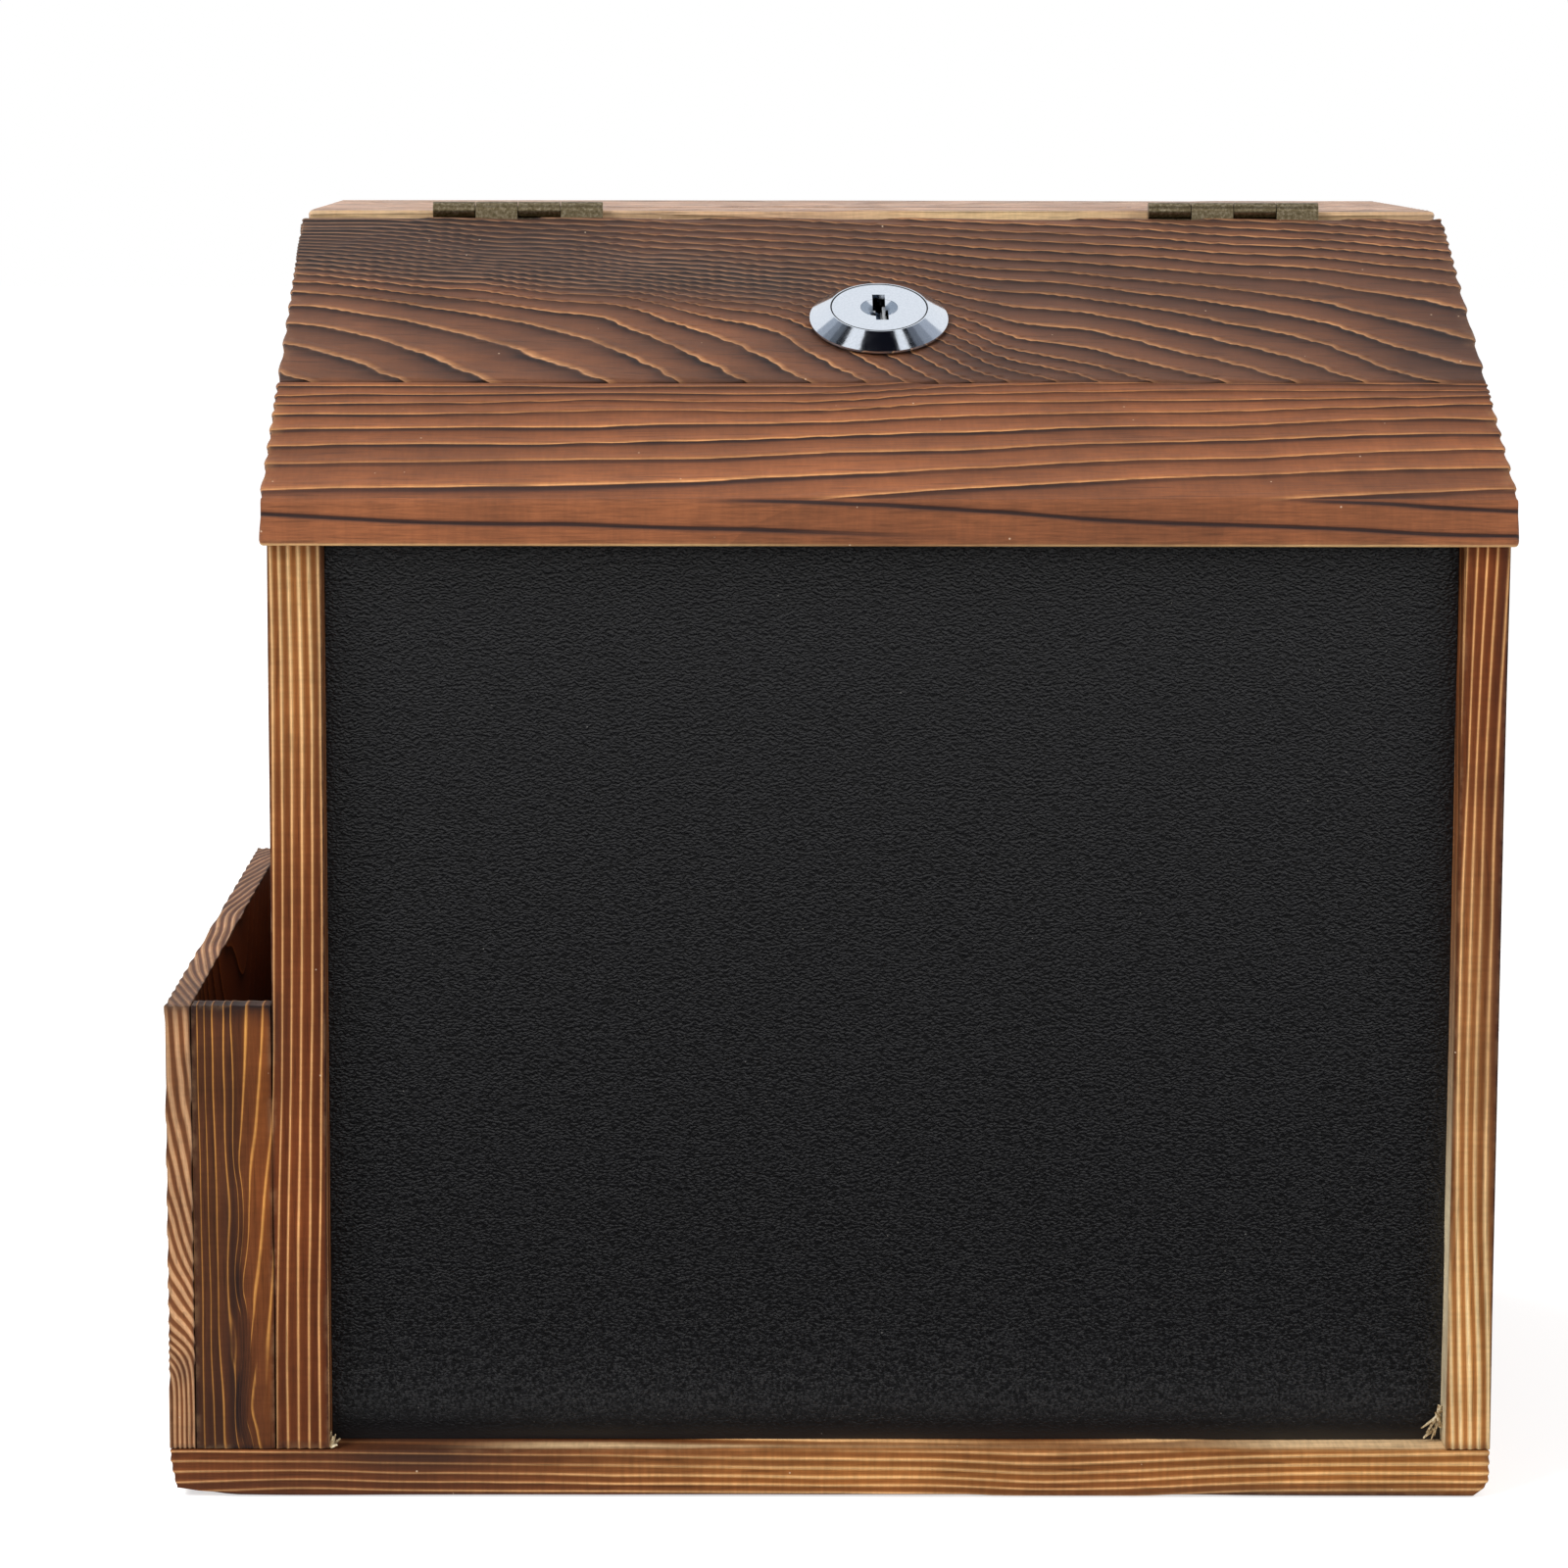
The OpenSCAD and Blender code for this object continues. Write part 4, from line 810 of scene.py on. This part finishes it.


# the flat top's colours are lightened about a fifth above mid-brown pine, as painted sheen of a top seen at a grazing
# angle
topWood = makeBurntPine("burntPineTop", dict(
    woodKinds["lidBrown"], plain="#b58c74", otherPlain="#a67c64", raw="#e6c490", gloss=0.8, roughLow=0.3, roughHigh=0.5, crestRise=0.1,
    stops=[(0.0, "#d9b79c"), (0.06, "#c79f84"), (0.2, "#b0866c"), (0.8, "#a1765c"), (0.93, "#6e4a3a"), (0.98, "#7a5544"), (1.0, "#d9b79c")]))
topBoard = makeFlatBoard("flatTopBoard", "top_board", flatSettings["topLines"], 1, (1.2, 1.0, 0.8), 0.25, 1.0, 0.3, topWood, [(126, 95, 80, 14, 0.4)])
backBoard = makeFlatBoard("backBoard", "back_board", flatSettings["backLines"], 2, (1.4, 1.5, 1.4), 0.25, 0.6, 0.3, baseWood, [(60, 200, 60, 50, 0.4), (180, 60, 50, 50, 0.35)])


def cutSlot(piece):
    # the ballot slot: a bar with round ends through the flat top
    low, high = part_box("top_board")
    centre = Vector(((low.x + high.x) / 2, low.y + 29 * mm, (low.z + high.z) / 2))
    cutter = addBlock("slotCutter", centre - Vector((0.06, 0.005, 0.02)), centre + Vector((0.06, 0.005, 0.02)))
    selectOnly(cutter)
    bpy.ops.object.mode_set(mode="EDIT")
    bpy.ops.mesh.select_mode(type="EDGE")
    bpy.ops.mesh.select_all(action="DESELECT")
    net = bmesh.from_edit_mesh(cutter.data)
    for edge in net.edges:
        run = edge.verts[1].co - edge.verts[0].co
        edge.select_set(abs(run.z) > 0.9 * run.length)
    bmesh.update_edit_mesh(cutter.data)
    bpy.ops.mesh.bevel(offset=0.00499, segments=12, affect="EDGES")
    bpy.ops.object.mode_set(mode="OBJECT")
    selectOnly(piece)
    cut = piece.modifiers.new("slot", "BOOLEAN")
    cut.operation, cut.solver, cut.object = "DIFFERENCE", "EXACT", cutter
    bpy.ops.object.modifier_apply(modifier="slot")
    bpy.data.objects.remove(cutter)


cutSlot(topBoard)
print("flat top and back made")


# Plain pine of the hidden boards, which stay as CAD solids: quarter sawn, lightly browned and
# unbrushed, so it shows straight growth rings 3.6 mm apart and fibres 0.5 mm thick

plainSettings = {
    # heart of the tree beside the boards, so that the rings cross their tops and faces
    "heart": (-130 * mm, 188 * mm), "along": 0.07, "ring": 3.6 * mm, "fibre": 0.5 * mm,
    "stops": [(0.0, "#b08660"), (0.1, "#a3764f"), (0.62, "#8f6342"), (0.88, "#6b452c"), (0.95, "#5a3822"), (1.0, "#b08660")],
}


def makePlainPine(name, s):
    material, tree, shader = startMaterial(name)
    place = addNode(tree, "ShaderNodeTexCoord").outputs["Object"]
    lean = addNode(tree, "ShaderNodeMapping", {}, {
        "Vector": place, "Location": (0, -s["heart"][0], -s["heart"][1]), "Scale": (s["along"], 1, 1)})
    # a ring texture has one ring every 2 pi / 20 units
    rings = addNode(tree, "ShaderNodeTexWave", {"wave_type": "RINGS", "rings_direction": "X", "wave_profile": "SAW"}, {
        "Vector": lean.outputs[0], "Scale": 2 * math.pi / 20 / s["ring"], "Distortion": 5.0, "Detail": 2.0, "Detail Scale": 0.6})
    strand = addNode(tree, "ShaderNodeTexNoise", {}, {"Vector": lean.outputs[0], "Scale": 1 / s["fibre"], "Detail": 3.0})
    cloud = addNode(tree, "ShaderNodeTexNoise", {}, {"Vector": lean.outputs[0], "Scale": 60.0, "Detail": 2.0})
    wood = colourStops(tree, rings.outputs[0], s["stops"]).outputs[0]
    fibres = addNode(tree, "ShaderNodeMapRange", {}, {"Value": strand.outputs[0], "To Min": 0.75, "To Max": 1.25})
    clouds = addNode(tree, "ShaderNodeMapRange", {}, {"Value": cloud.outputs[0], "From Min": 0.3, "From Max": 0.7, "To Min": 0.7, "To Max": 1.15})
    tone = addNode(tree, "ShaderNodeMath", {"operation": "MULTIPLY"}, {0: fibres.outputs[0], 1: clouds.outputs[0]})
    toned = addNode(tree, "ShaderNodeVectorMath", {"operation": "SCALE"}, {0: wood, "Scale": tone.outputs[0]})
    tree.links.new(toned.outputs[0], shader.inputs["Base Color"])
    shader.inputs["Roughness"].default_value = 0.6
    bump = addNode(tree, "ShaderNodeBump", {}, {"Height": strand.outputs[0], "Strength": 0.6, "Distance": 0.1 * mm})
    tree.links.new(bump.outputs[0], shader.inputs["Normal"])
    return material


def dress(nodeNames, material):
    for nodeName in nodeNames:
        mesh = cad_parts[nodeName].data
        mesh.materials.clear()
        mesh.materials.append(material)


dress(["front_board", "lock_rail"], makePlainPine("sawnPineInside", plainSettings))


# Chalkboard: black writing film with a pressed leather grain. Its wrinkles are about 1 mm
# long and 0.5 mm high, drawn as large as they are; their crowns are painted greyer as painted sheen, and their creases
# darker as painted shade.

def makeChalkFilm():
    material, tree, shader = startMaterial("pressedChalkFilm")
    place = addNode(tree, "ShaderNodeTexCoord").outputs["Object"]
    # cells 1 mm long and 0.5 mm high, pushed out of line by a slower noise
    push = addNode(tree, "ShaderNodeTexNoise", {}, {"Vector": place, "Scale": 1000 / 1.4, "Detail": 1.0})
    pushed = addNode(tree, "ShaderNodeVectorMath", {"operation": "SCALE"}, {0: push.outputs["Color"], "Scale": 1.3 * mm})
    bent = addNode(tree, "ShaderNodeVectorMath", {"operation": "ADD"}, {0: place, 1: pushed.outputs[0]})
    lean = addNode(tree, "ShaderNodeMapping", {}, {"Vector": bent.outputs[0], "Scale": (0.5, 1, 1), "Rotation": (0, math.radians(8), 0)})
    cells = addNode(tree, "ShaderNodeTexVoronoi", {"feature": "SMOOTH_F1"}, {"Vector": lean.outputs[0], "Scale": 1000 / 0.48, "Smoothness": 0.35})
    # the pressing fades out near the sheet's lower edge
    height = addNode(tree, "ShaderNodeSeparateXYZ", {}, {0: place})
    pressed = addNode(tree, "ShaderNodeMapRange", {}, {"Value": height.outputs["Z"], "From Min": 10 * mm, "From Max": 18 * mm, "To Min": 0.08, "To Max": 1.0})
    dome = addNode(tree, "ShaderNodeMapRange", {}, {"Value": cells.outputs["Distance"], "From Min": 0.1, "From Max": 0.75, "To Min": 1.0, "To Max": 0.0})
    bump = addNode(tree, "ShaderNodeBump", {}, {"Height": dome.outputs[0], "Strength": pressed.outputs[0], "Distance": 0.075 * mm})
    tree.links.new(bump.outputs[0], shader.inputs["Normal"])
    # painted sheen on the crowns and painted shade in the creases
    crownSheenCreaseShade = colourStops(tree, dome.outputs[0], [(0.15, "#070709"), (0.55, "#0f0f12"), (0.9, "#18181b")])
    flat = addNode(tree, "ShaderNodeMix", {"data_type": "RGBA"}, {"Factor": pressed.outputs[0], 6: paint("#0e0e10"), 7: crownSheenCreaseShade.outputs[0]})
    # grains of chalk dust, 0.2 mm, in cells 6 mm apart
    dust = addNode(tree, "ShaderNodeTexVoronoi", {}, {"Vector": place, "Scale": 1000 / 6.0})
    specks = addNode(tree, "ShaderNodeMapRange", {}, {"Value": dust.outputs["Distance"], "From Min": 0.016, "From Max": 0.026, "To Min": 0.5, "To Max": 0.0})
    dusty = addNode(tree, "ShaderNodeMix", {"data_type": "RGBA"}, {"Factor": specks.outputs[0], 6: flat.outputs[2], 7: paint("#8d8a84")})
    tree.links.new(dusty.outputs[2], shader.inputs["Base Color"])
    shader.inputs["Roughness"].default_value = 0.32
    shader.inputs["Specular IOR Level"].default_value = 0.5
    return material


dress(["chalkboard"], makeChalkFilm())


# Metals

lockFrame = lidFrame @ Matrix.Translation((lidWidth / 2 * mm, 74 * mm, 0))


def makeChrome():
    # nickel and chrome plate on a zinc casting: mirror bright, with faint polishing waves. Inside
    # the keyway and the gap round the plug's face it is unplated and dark, and painted shade darkens it further there.
    material, tree, shader = startMaterial("chromedZincCasting")
    place = addNode(tree, "ShaderNodeTexCoord").outputs["Object"]
    swirl = addNode(tree, "ShaderNodeTexNoise", {}, {"Vector": place, "Scale": 350.0, "Detail": 3.0})
    fine = addNode(tree, "ShaderNodeTexNoise", {}, {"Vector": place, "Scale": 2200.0, "Detail": 4.0})
    colour = colourStops(tree, fine.outputs[0], [(0.3, "#d3dbe6"), (0.7, "#dde4ee")])
    # distance from the lock's axis and height above the lid's face
    toLock = lockFrame.inverted()
    turned = addNode(tree, "ShaderNodeMapping", {}, {"Vector": place, "Location": toLock.to_translation(), "Rotation": toLock.to_euler()})
    parts = addNode(tree, "ShaderNodeSeparateXYZ", {}, {0: turned.outputs[0]})
    flat = addNode(tree, "ShaderNodeVectorMath", {"operation": "MULTIPLY"}, {0: turned.outputs[0], 1: (1 / (12 * mm), 1 / (12 * mm), 0)})
    away = addNode(tree, "ShaderNodeVectorMath", {"operation": "LENGTH"}, {0: flat.outputs[0]})
    unplatedRecessShade = colourStops(tree, away.outputs["Value"], [(6.2 / 12, 1.0), (6.25 / 12, 0.0), (10.05 / 12, 0.0), (10.1 / 12, 1.0), (10.55 / 12, 1.0), (10.6 / 12, 0.0)])
    # painted shade also darkens the groove's lips, the dish's rim and the ring's foot
    lipShadeMask = colourStops(tree, away.outputs["Value"], [(3.86 / 12, 0.0), (3.98 / 12, 0.3), (4.08 / 12, 0.0), (10.08 / 12, 0.0), (10.16 / 12, 0.85), (10.3 / 12, 0.85), (10.38 / 12, 0.0)])
    # the ring's foot, 0.5 mm high: painted shade and dark reflection where it meets the wood
    foot = addNode(tree, "ShaderNodeMapRange", {}, {"Value": parts.outputs["Z"], "From Min": 0.5 * mm, "From Max": 0.3 * mm, "To Min": 0.0, "To Max": 0.9})
    below = addNode(tree, "ShaderNodeMapRange", {}, {"Value": parts.outputs["Z"], "From Min": 2.95 * mm, "From Max": 2.3 * mm})
    inFront = addNode(tree, "ShaderNodeMath", {"operation": "GREATER_THAN"}, {0: parts.outputs["Z"], 1: -1 * mm})
    deepUnplatedRecessShade = addNode(tree, "ShaderNodeMath", {"operation": "MULTIPLY"}, {0: unplatedRecessShade.outputs[0], 1: below.outputs[0]})
    recessAndLipShade = addNode(tree, "ShaderNodeMath", {"operation": "MAXIMUM"}, {0: deepUnplatedRecessShade.outputs[0], 1: lipShadeMask.outputs[0]})
    recessLipFootShade = addNode(tree, "ShaderNodeMath", {"operation": "MAXIMUM"}, {0: recessAndLipShade.outputs[0], 1: foot.outputs[0]})
    unplatedAndPaintedShade = addNode(tree, "ShaderNodeMath", {"operation": "MULTIPLY", "use_clamp": True}, {0: recessLipFootShade.outputs[0], 1: inFront.outputs[0]})
    # dark where the metal is unplated, plus painted shade in the recess, on the lips and at the foot
    chromeWithPaintedShade = addNode(tree, "ShaderNodeMix", {"data_type": "RGBA"}, {"Factor": unplatedAndPaintedShade.outputs[0], 6: colour.outputs[0], 7: paint("#19191b")})
    tree.links.new(chromeWithPaintedShade.outputs[2], shader.inputs["Base Color"])
    rough = addNode(tree, "ShaderNodeMapRange", {}, {"Value": swirl.outputs[0], "To Min": 0.05, "To Max": 0.16})
    tree.links.new(rough.outputs[0], shader.inputs["Roughness"])
    shader.inputs["Metallic"].default_value = 1.0
    bump = addNode(tree, "ShaderNodeBump", {}, {"Height": swirl.outputs[0], "Strength": 0.25, "Distance": 0.05 * mm})
    tree.links.new(bump.outputs[0], shader.inputs["Normal"])
    return material


def makeBrass():
    # antique brass plate: dark lacquer left in the hollows and brass rubbed bright on top
    material, tree, shader = startMaterial("antiqueBrassPlate")
    place = addNode(tree, "ShaderNodeTexCoord").outputs["Object"]
    patch = addNode(tree, "ShaderNodeTexNoise", {}, {"Vector": place, "Scale": 1400.0, "Detail": 5.0, "Roughness": 0.65})
    colour = colourStops(tree, patch.outputs[0], [(0.3, "#5a5038"), (0.5, "#81745a"), (0.72, "#b0a48c")])
    tree.links.new(colour.outputs[0], shader.inputs["Base Color"])
    rough = addNode(tree, "ShaderNodeMapRange", {}, {"Value": patch.outputs[0], "To Min": 0.5, "To Max": 0.25})
    tree.links.new(rough.outputs[0], shader.inputs["Roughness"])
    shader.inputs["Metallic"].default_value = 1.0
    bump = addNode(tree, "ShaderNodeBump", {}, {"Height": patch.outputs[0], "Strength": 0.4, "Distance": 0.06 * mm})
    tree.links.new(bump.outputs[0], shader.inputs["Normal"])
    return material


def makeZinc():
    # zinc plated steel: dull blue grey with fine spangle
    material, tree, shader = startMaterial("zincPlatedSteel")
    place = addNode(tree, "ShaderNodeTexCoord").outputs["Object"]
    spangle = addNode(tree, "ShaderNodeTexVoronoi", {}, {"Vector": place, "Scale": 900.0})
    colour = colourStops(tree, spangle.outputs["Distance"], [(0.1, "#9a9da3"), (0.6, "#b4b7bc")])
    tree.links.new(colour.outputs[0], shader.inputs["Base Color"])
    rough = addNode(tree, "ShaderNodeMapRange", {}, {"Value": spangle.outputs["Distance"], "To Min": 0.25, "To Max": 0.42})
    tree.links.new(rough.outputs[0], shader.inputs["Roughness"])
    shader.inputs["Metallic"].default_value = 1.0
    return material


dress(["lock_trim_ring", "lock_housing", "lock_plug"], makeChrome())
dress([
    "left_hinge_top_leaf", "left_hinge_lid_leaf", "left_hinge_pin", "right_hinge_top_leaf", "right_hinge_lid_leaf",
    "right_hinge_pin", "top_leaf_screws", "lid_leaf_screws"], makeBrass())
dress(["base_screws", "lock_washer", "lock_nut", "lock_stop_washer", "lock_cam", "lock_cam_screw"], makeZinc())
print("materials set")


# Wafers of the lock, whose pale ends show in the keyway's right-hand side

waferSettings = {"depths": (1.8, 3.2, 4.6), "reaches": (0.6, 0.9, 0.7), "thick": 0.4, "face": 3.1}


def makeWafers(s):
    wafers = []
    for depth, reach in zip(s["depths"], s["reaches"]):
        top = s["face"] - depth
        wafers.append(addBlock("keywayWafers", (Vector((1.35 - reach, -2.6, top - s["thick"]))) * mm, Vector((1.6, 4.2, top)) * mm))
    piece = joinPieces(wafers)
    piece.data.transform(lockFrame)
    material, tree, shader = startMaterial("nickelledWafers")
    place = addNode(tree, "ShaderNodeTexCoord").outputs["Object"]
    scratch = addNode(tree, "ShaderNodeTexNoise", {}, {"Vector": place, "Scale": 2500.0, "Detail": 3.0})
    colour = colourStops(tree, scratch.outputs[0], [(0.3, "#c4c6c8"), (0.7, "#eceef0")])
    tree.links.new(colour.outputs[0], shader.inputs["Base Color"])
    shader.inputs["Metallic"].default_value = 1.0
    shader.inputs["Roughness"].default_value = 0.4
    piece.data.materials.append(material)
    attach(piece, "lock_plug")
    return piece


def joinPieces(pieces):
    bpy.ops.object.select_all(action="DESELECT")
    for piece in pieces:
        piece.select_set(True)
    bpy.context.view_layer.objects.active = pieces[0]
    bpy.ops.object.join()
    return bpy.context.active_object


makeWafers(waferSettings)


# Splinters that the saw left in the two lower corners of the chalkboard's recess

splinterSettings = {
    # foot and tip of each splinter: mm from the carcass's left face, behind the front, above the table
    "left": [((11.2, 1.5, 10.1), (11.9, 0.9, 12.4)), ((11.3, 2.6, 10.2), (11.5, 1.7, 13.4)), ((11.4, 3.0, 10.1), (13.2, 2.2, 11.6)),
             ((11.3, 0.9, 10.3), (12.7, 0.8, 10.6)), ((11.2, 2.0, 10.1), (12.3, 1.2, 12.8))],
    "right": [((242.5, 6.2, 16.8), (239.6, 5.4, 12.2)), ((242.5, 6.6, 17.6), (241.1, 6.0, 11.4)), ((241.6, 6.0, 15.2), (238.4, 5.2, 13.1)),
              ((241.0, 6.4, 12.6), (238.9, 6.0, 10.8)), ((242.4, 6.8, 15.4), (240.6, 5.6, 10.6)), ((242.5, 5.6, 13.4), (241.3, 5.0, 16.6))],
    "foot": 0.55, "tip": 0.12,
}


def makeSplinters(s):
    splinters = []
    for foot, tip in s["left"] + s["right"]:
        foot, tip = Vector(foot) * mm, Vector(tip) * mm
        run = tip - foot
        bpy.ops.object.select_all(action="DESELECT")
        bpy.ops.mesh.primitive_cone_add(
            vertices=6, radius1=s["foot"] * mm, radius2=s["tip"] * mm, depth=run.length,
            location=(foot + tip) / 2 + Vector((bodyX, bodyY, 0)), rotation=run.to_track_quat("Z", "Y").to_euler())
        bpy.ops.object.transform_apply(location=True, rotation=True, scale=True)
        splinters.append(bpy.context.active_object)
    piece = joinPieces(splinters)
    piece.name = "cornerSplinters"
    # frayed: every ring of points is pushed about a little
    points = readPoints(piece) / mm
    chance = np.random.default_rng(4)
    writePoints(piece, (points + chance.uniform(-0.16, 0.16, points.shape)) * mm)
    material, tree, shader = startMaterial("rawPineSplinters")
    place = addNode(tree, "ShaderNodeTexCoord").outputs["Object"]
    fibre = addNode(tree, "ShaderNodeTexNoise", {}, {"Vector": place, "Scale": 1800.0, "Detail": 3.0})
    colour = colourStops(tree, fibre.outputs[0], [(0.35, "#8a6f4c"), (0.5, "#c9b48c"), (0.7, "#e4d8bd")])
    tree.links.new(colour.outputs[0], shader.inputs["Base Color"])
    shader.inputs["Roughness"].default_value = 0.8
    piece.data.materials.append(material)
    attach(piece, "carcass")
    return piece


makeSplinters(splinterSettings)
print("small pieces made")


# Stage and light

stageSettings = {
    "floor": "#e4e4e4", "glow": 0.62, "key": 24.0, "fill": 9.0, "rim": 8.0, "world": 0.5,
    # stripes round the trim ring: from, to in degrees from the front, and their tone
    "cards": [
        (-17, 15, "#0a0a12"), (-39, -32, "#15161c"), (24, 30, "#15161c"),
        (-46, -39, "#5f646b"), (-54, -46, "#8a9099"), (-64, -54, "#b0b6bf"),
        (30, 38, "#6c7078"), (38, 48, "#9297a0"), (48, 62, "#b4b9c2")],
    # grey patches that the dish round the keyway shows on its left and right flanks
    "dishCards": [(-140, -50, 1.5, "#a9b1bb"), (-112, -72, 1.45, "#868f9b"), (50, 140, 1.5, "#a3acb7"), (80, 122, 1.45, "#7f8894")],
}


def makeStage(s):
    bpy.ops.object.select_all(action="DESELECT")
    bpy.ops.mesh.primitive_plane_add(size=12, location=(0, 0, -0.0003))
    floor = bpy.context.active_object
    floor.name = "floor"
    # white to the camera and in reflections, and still darkened by the object's shadow
    material, tree, shader = startMaterial("paperSweep")
    shader.inputs["Base Color"].default_value = paint(s["floor"])
    shader.inputs["Roughness"].default_value = 0.9
    shader.inputs["Specular IOR Level"].default_value = 0.0
    path = addNode(tree, "ShaderNodeLightPath")
    seen = addNode(tree, "ShaderNodeMath", {"operation": "MAXIMUM"}, {0: path.outputs["Is Camera Ray"], 1: path.outputs["Is Glossy Ray"]})
    seenAll = addNode(tree, "ShaderNodeMath", {"operation": "MAXIMUM"}, {0: seen.outputs[0], 1: path.outputs["Is Transmission Ray"]})
    glow = addNode(tree, "ShaderNodeMath", {"operation": "MULTIPLY"}, {0: seenAll.outputs[0], 1: s["glow"]})
    shader.inputs["Emission Color"].default_value = (1, 1, 1, 1)
    tree.links.new(glow.outputs[0], shader.inputs["Emission Strength"])
    floor.data.materials.append(material)

    # black and grey glowing cards overhead in front, seen only in reflections: painted reflections that the polished
    # lock shows as its dark stripes
    lockLow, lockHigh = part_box("lock_trim_ring")
    lock = (lockLow + lockHigh) / 2
    axis = Vector((0, -math.sin(lidTilt), math.cos(lidTilt)))
    down = Vector((0, -math.cos(lidTilt), -math.sin(lidTilt)))
    toCamera = (Vector(cameraSettings["place"]) - lock).normalized()

    def mirrored(turn, flare=32):
        turn, flare = math.radians(turn), math.radians(flare)
        side = down * math.cos(turn) + Vector((1, 0, 0)) * math.sin(turn)
        normal = axis * math.cos(flare) + side * math.sin(flare)
        return (2 * normal.dot(toCamera) * normal - toCamera).normalized()

    # painted reflections: each card glows with its tone and only reflections see it
    stripes = [(start, end, 27, 50, 1.5, tone) for start, end, tone in s["cards"]]
    patches = [(start, end, -26, -9, away, tone) for start, end, away, tone in s["dishCards"]]
    for start, end, inner, outer, away, tone in stripes + patches:
        mesh = bpy.data.meshes.new("card")
        corners = [lock + away * mirrored(turn, flare) for turn, flare in ((start, inner), (end, inner), (end, outer), (start, outer))]
        mesh.from_pydata([tuple(c) for c in corners], [], [(0, 1, 2, 3)])
        card = bpy.data.objects.new("card", mesh)
        bpy.context.scene.collection.objects.link(card)
        shade, tree, shader = startMaterial("card")
        shader.inputs["Base Color"].default_value = (0, 0, 0, 1)
        shader.inputs["Specular IOR Level"].default_value = 0.0
        shader.inputs["Emission Color"].default_value = paint(tone)
        shader.inputs["Emission Strength"].default_value = 1.0
        mesh.materials.append(shade)
        card.visible_camera = card.visible_diffuse = card.visible_shadow = False

    # a black cloth on the floor in front, seen in reflections only, keeps the chalkboard black
    bpy.ops.object.select_all(action="DESELECT")
    bpy.ops.mesh.primitive_plane_add(size=3, location=(0, -1.62, 0.0005))
    cloth = bpy.context.active_object
    cloth.name = "frontCloth"
    shade, tree, shader = startMaterial("blackCloth")
    shader.inputs["Base Color"].default_value = (0, 0, 0, 1)
    shader.inputs["Specular IOR Level"].default_value = 0.0
    cloth.data.materials.append(shade)
    cloth.visible_camera = cloth.visible_diffuse = cloth.visible_shadow = cloth.visible_transmission = False

    world = bpy.data.worlds.new("studio")
    bpy.context.scene.world = world
    world.use_nodes = True
    tree = world.node_tree
    tree.nodes.clear()
    path = addNode(tree, "ShaderNodeLightPath")
    seen = addNode(tree, "ShaderNodeMath", {"operation": "MAXIMUM"}, {0: path.outputs["Is Camera Ray"], 1: path.outputs["Is Glossy Ray"]})
    seenAll = addNode(tree, "ShaderNodeMath", {"operation": "MAXIMUM"}, {0: seen.outputs[0], 1: path.outputs["Is Transmission Ray"]})
    strength = addNode(tree, "ShaderNodeMapRange", {}, {"Value": seenAll.outputs[0], "To Min": s["world"], "To Max": 1.0})
    sky = addNode(tree, "ShaderNodeBackground", {}, {"Color": (1, 1, 1, 1), "Strength": strength.outputs[0]})
    output = tree.nodes.new("ShaderNodeOutputWorld")
    tree.links.new(sky.outputs[0], output.inputs[0])

    def addLamp(name, place, aim, size, power):
        data = bpy.data.lights.new(name, "AREA")
        data.shape, data.size, data.energy = "DISK", size, power
        lamp = bpy.data.objects.new(name, data)
        bpy.context.scene.collection.objects.link(lamp)
        lamp.location = place
        lamp.rotation_euler = (Vector(aim) - Vector(place)).to_track_quat("-Z", "Y").to_euler()

    addLamp("key", (-1.2, -1.0, 1.4), (0, 0, 0.15), 0.9, s["key"])
    addLamp("fill", (1.4, -1.0, 0.8), (0, 0, 0.12), 1.2, s["fill"])
    addLamp("rim", (-0.9, 1.0, 1.3), (0, 0, 0.2), 0.8, s["rim"])
    bpy.data.objects["rim"].visible_glossy = False
    bpy.context.scene.view_settings.view_transform = "Standard"


makeStage(stageSettings)
print("stage and lamps set")
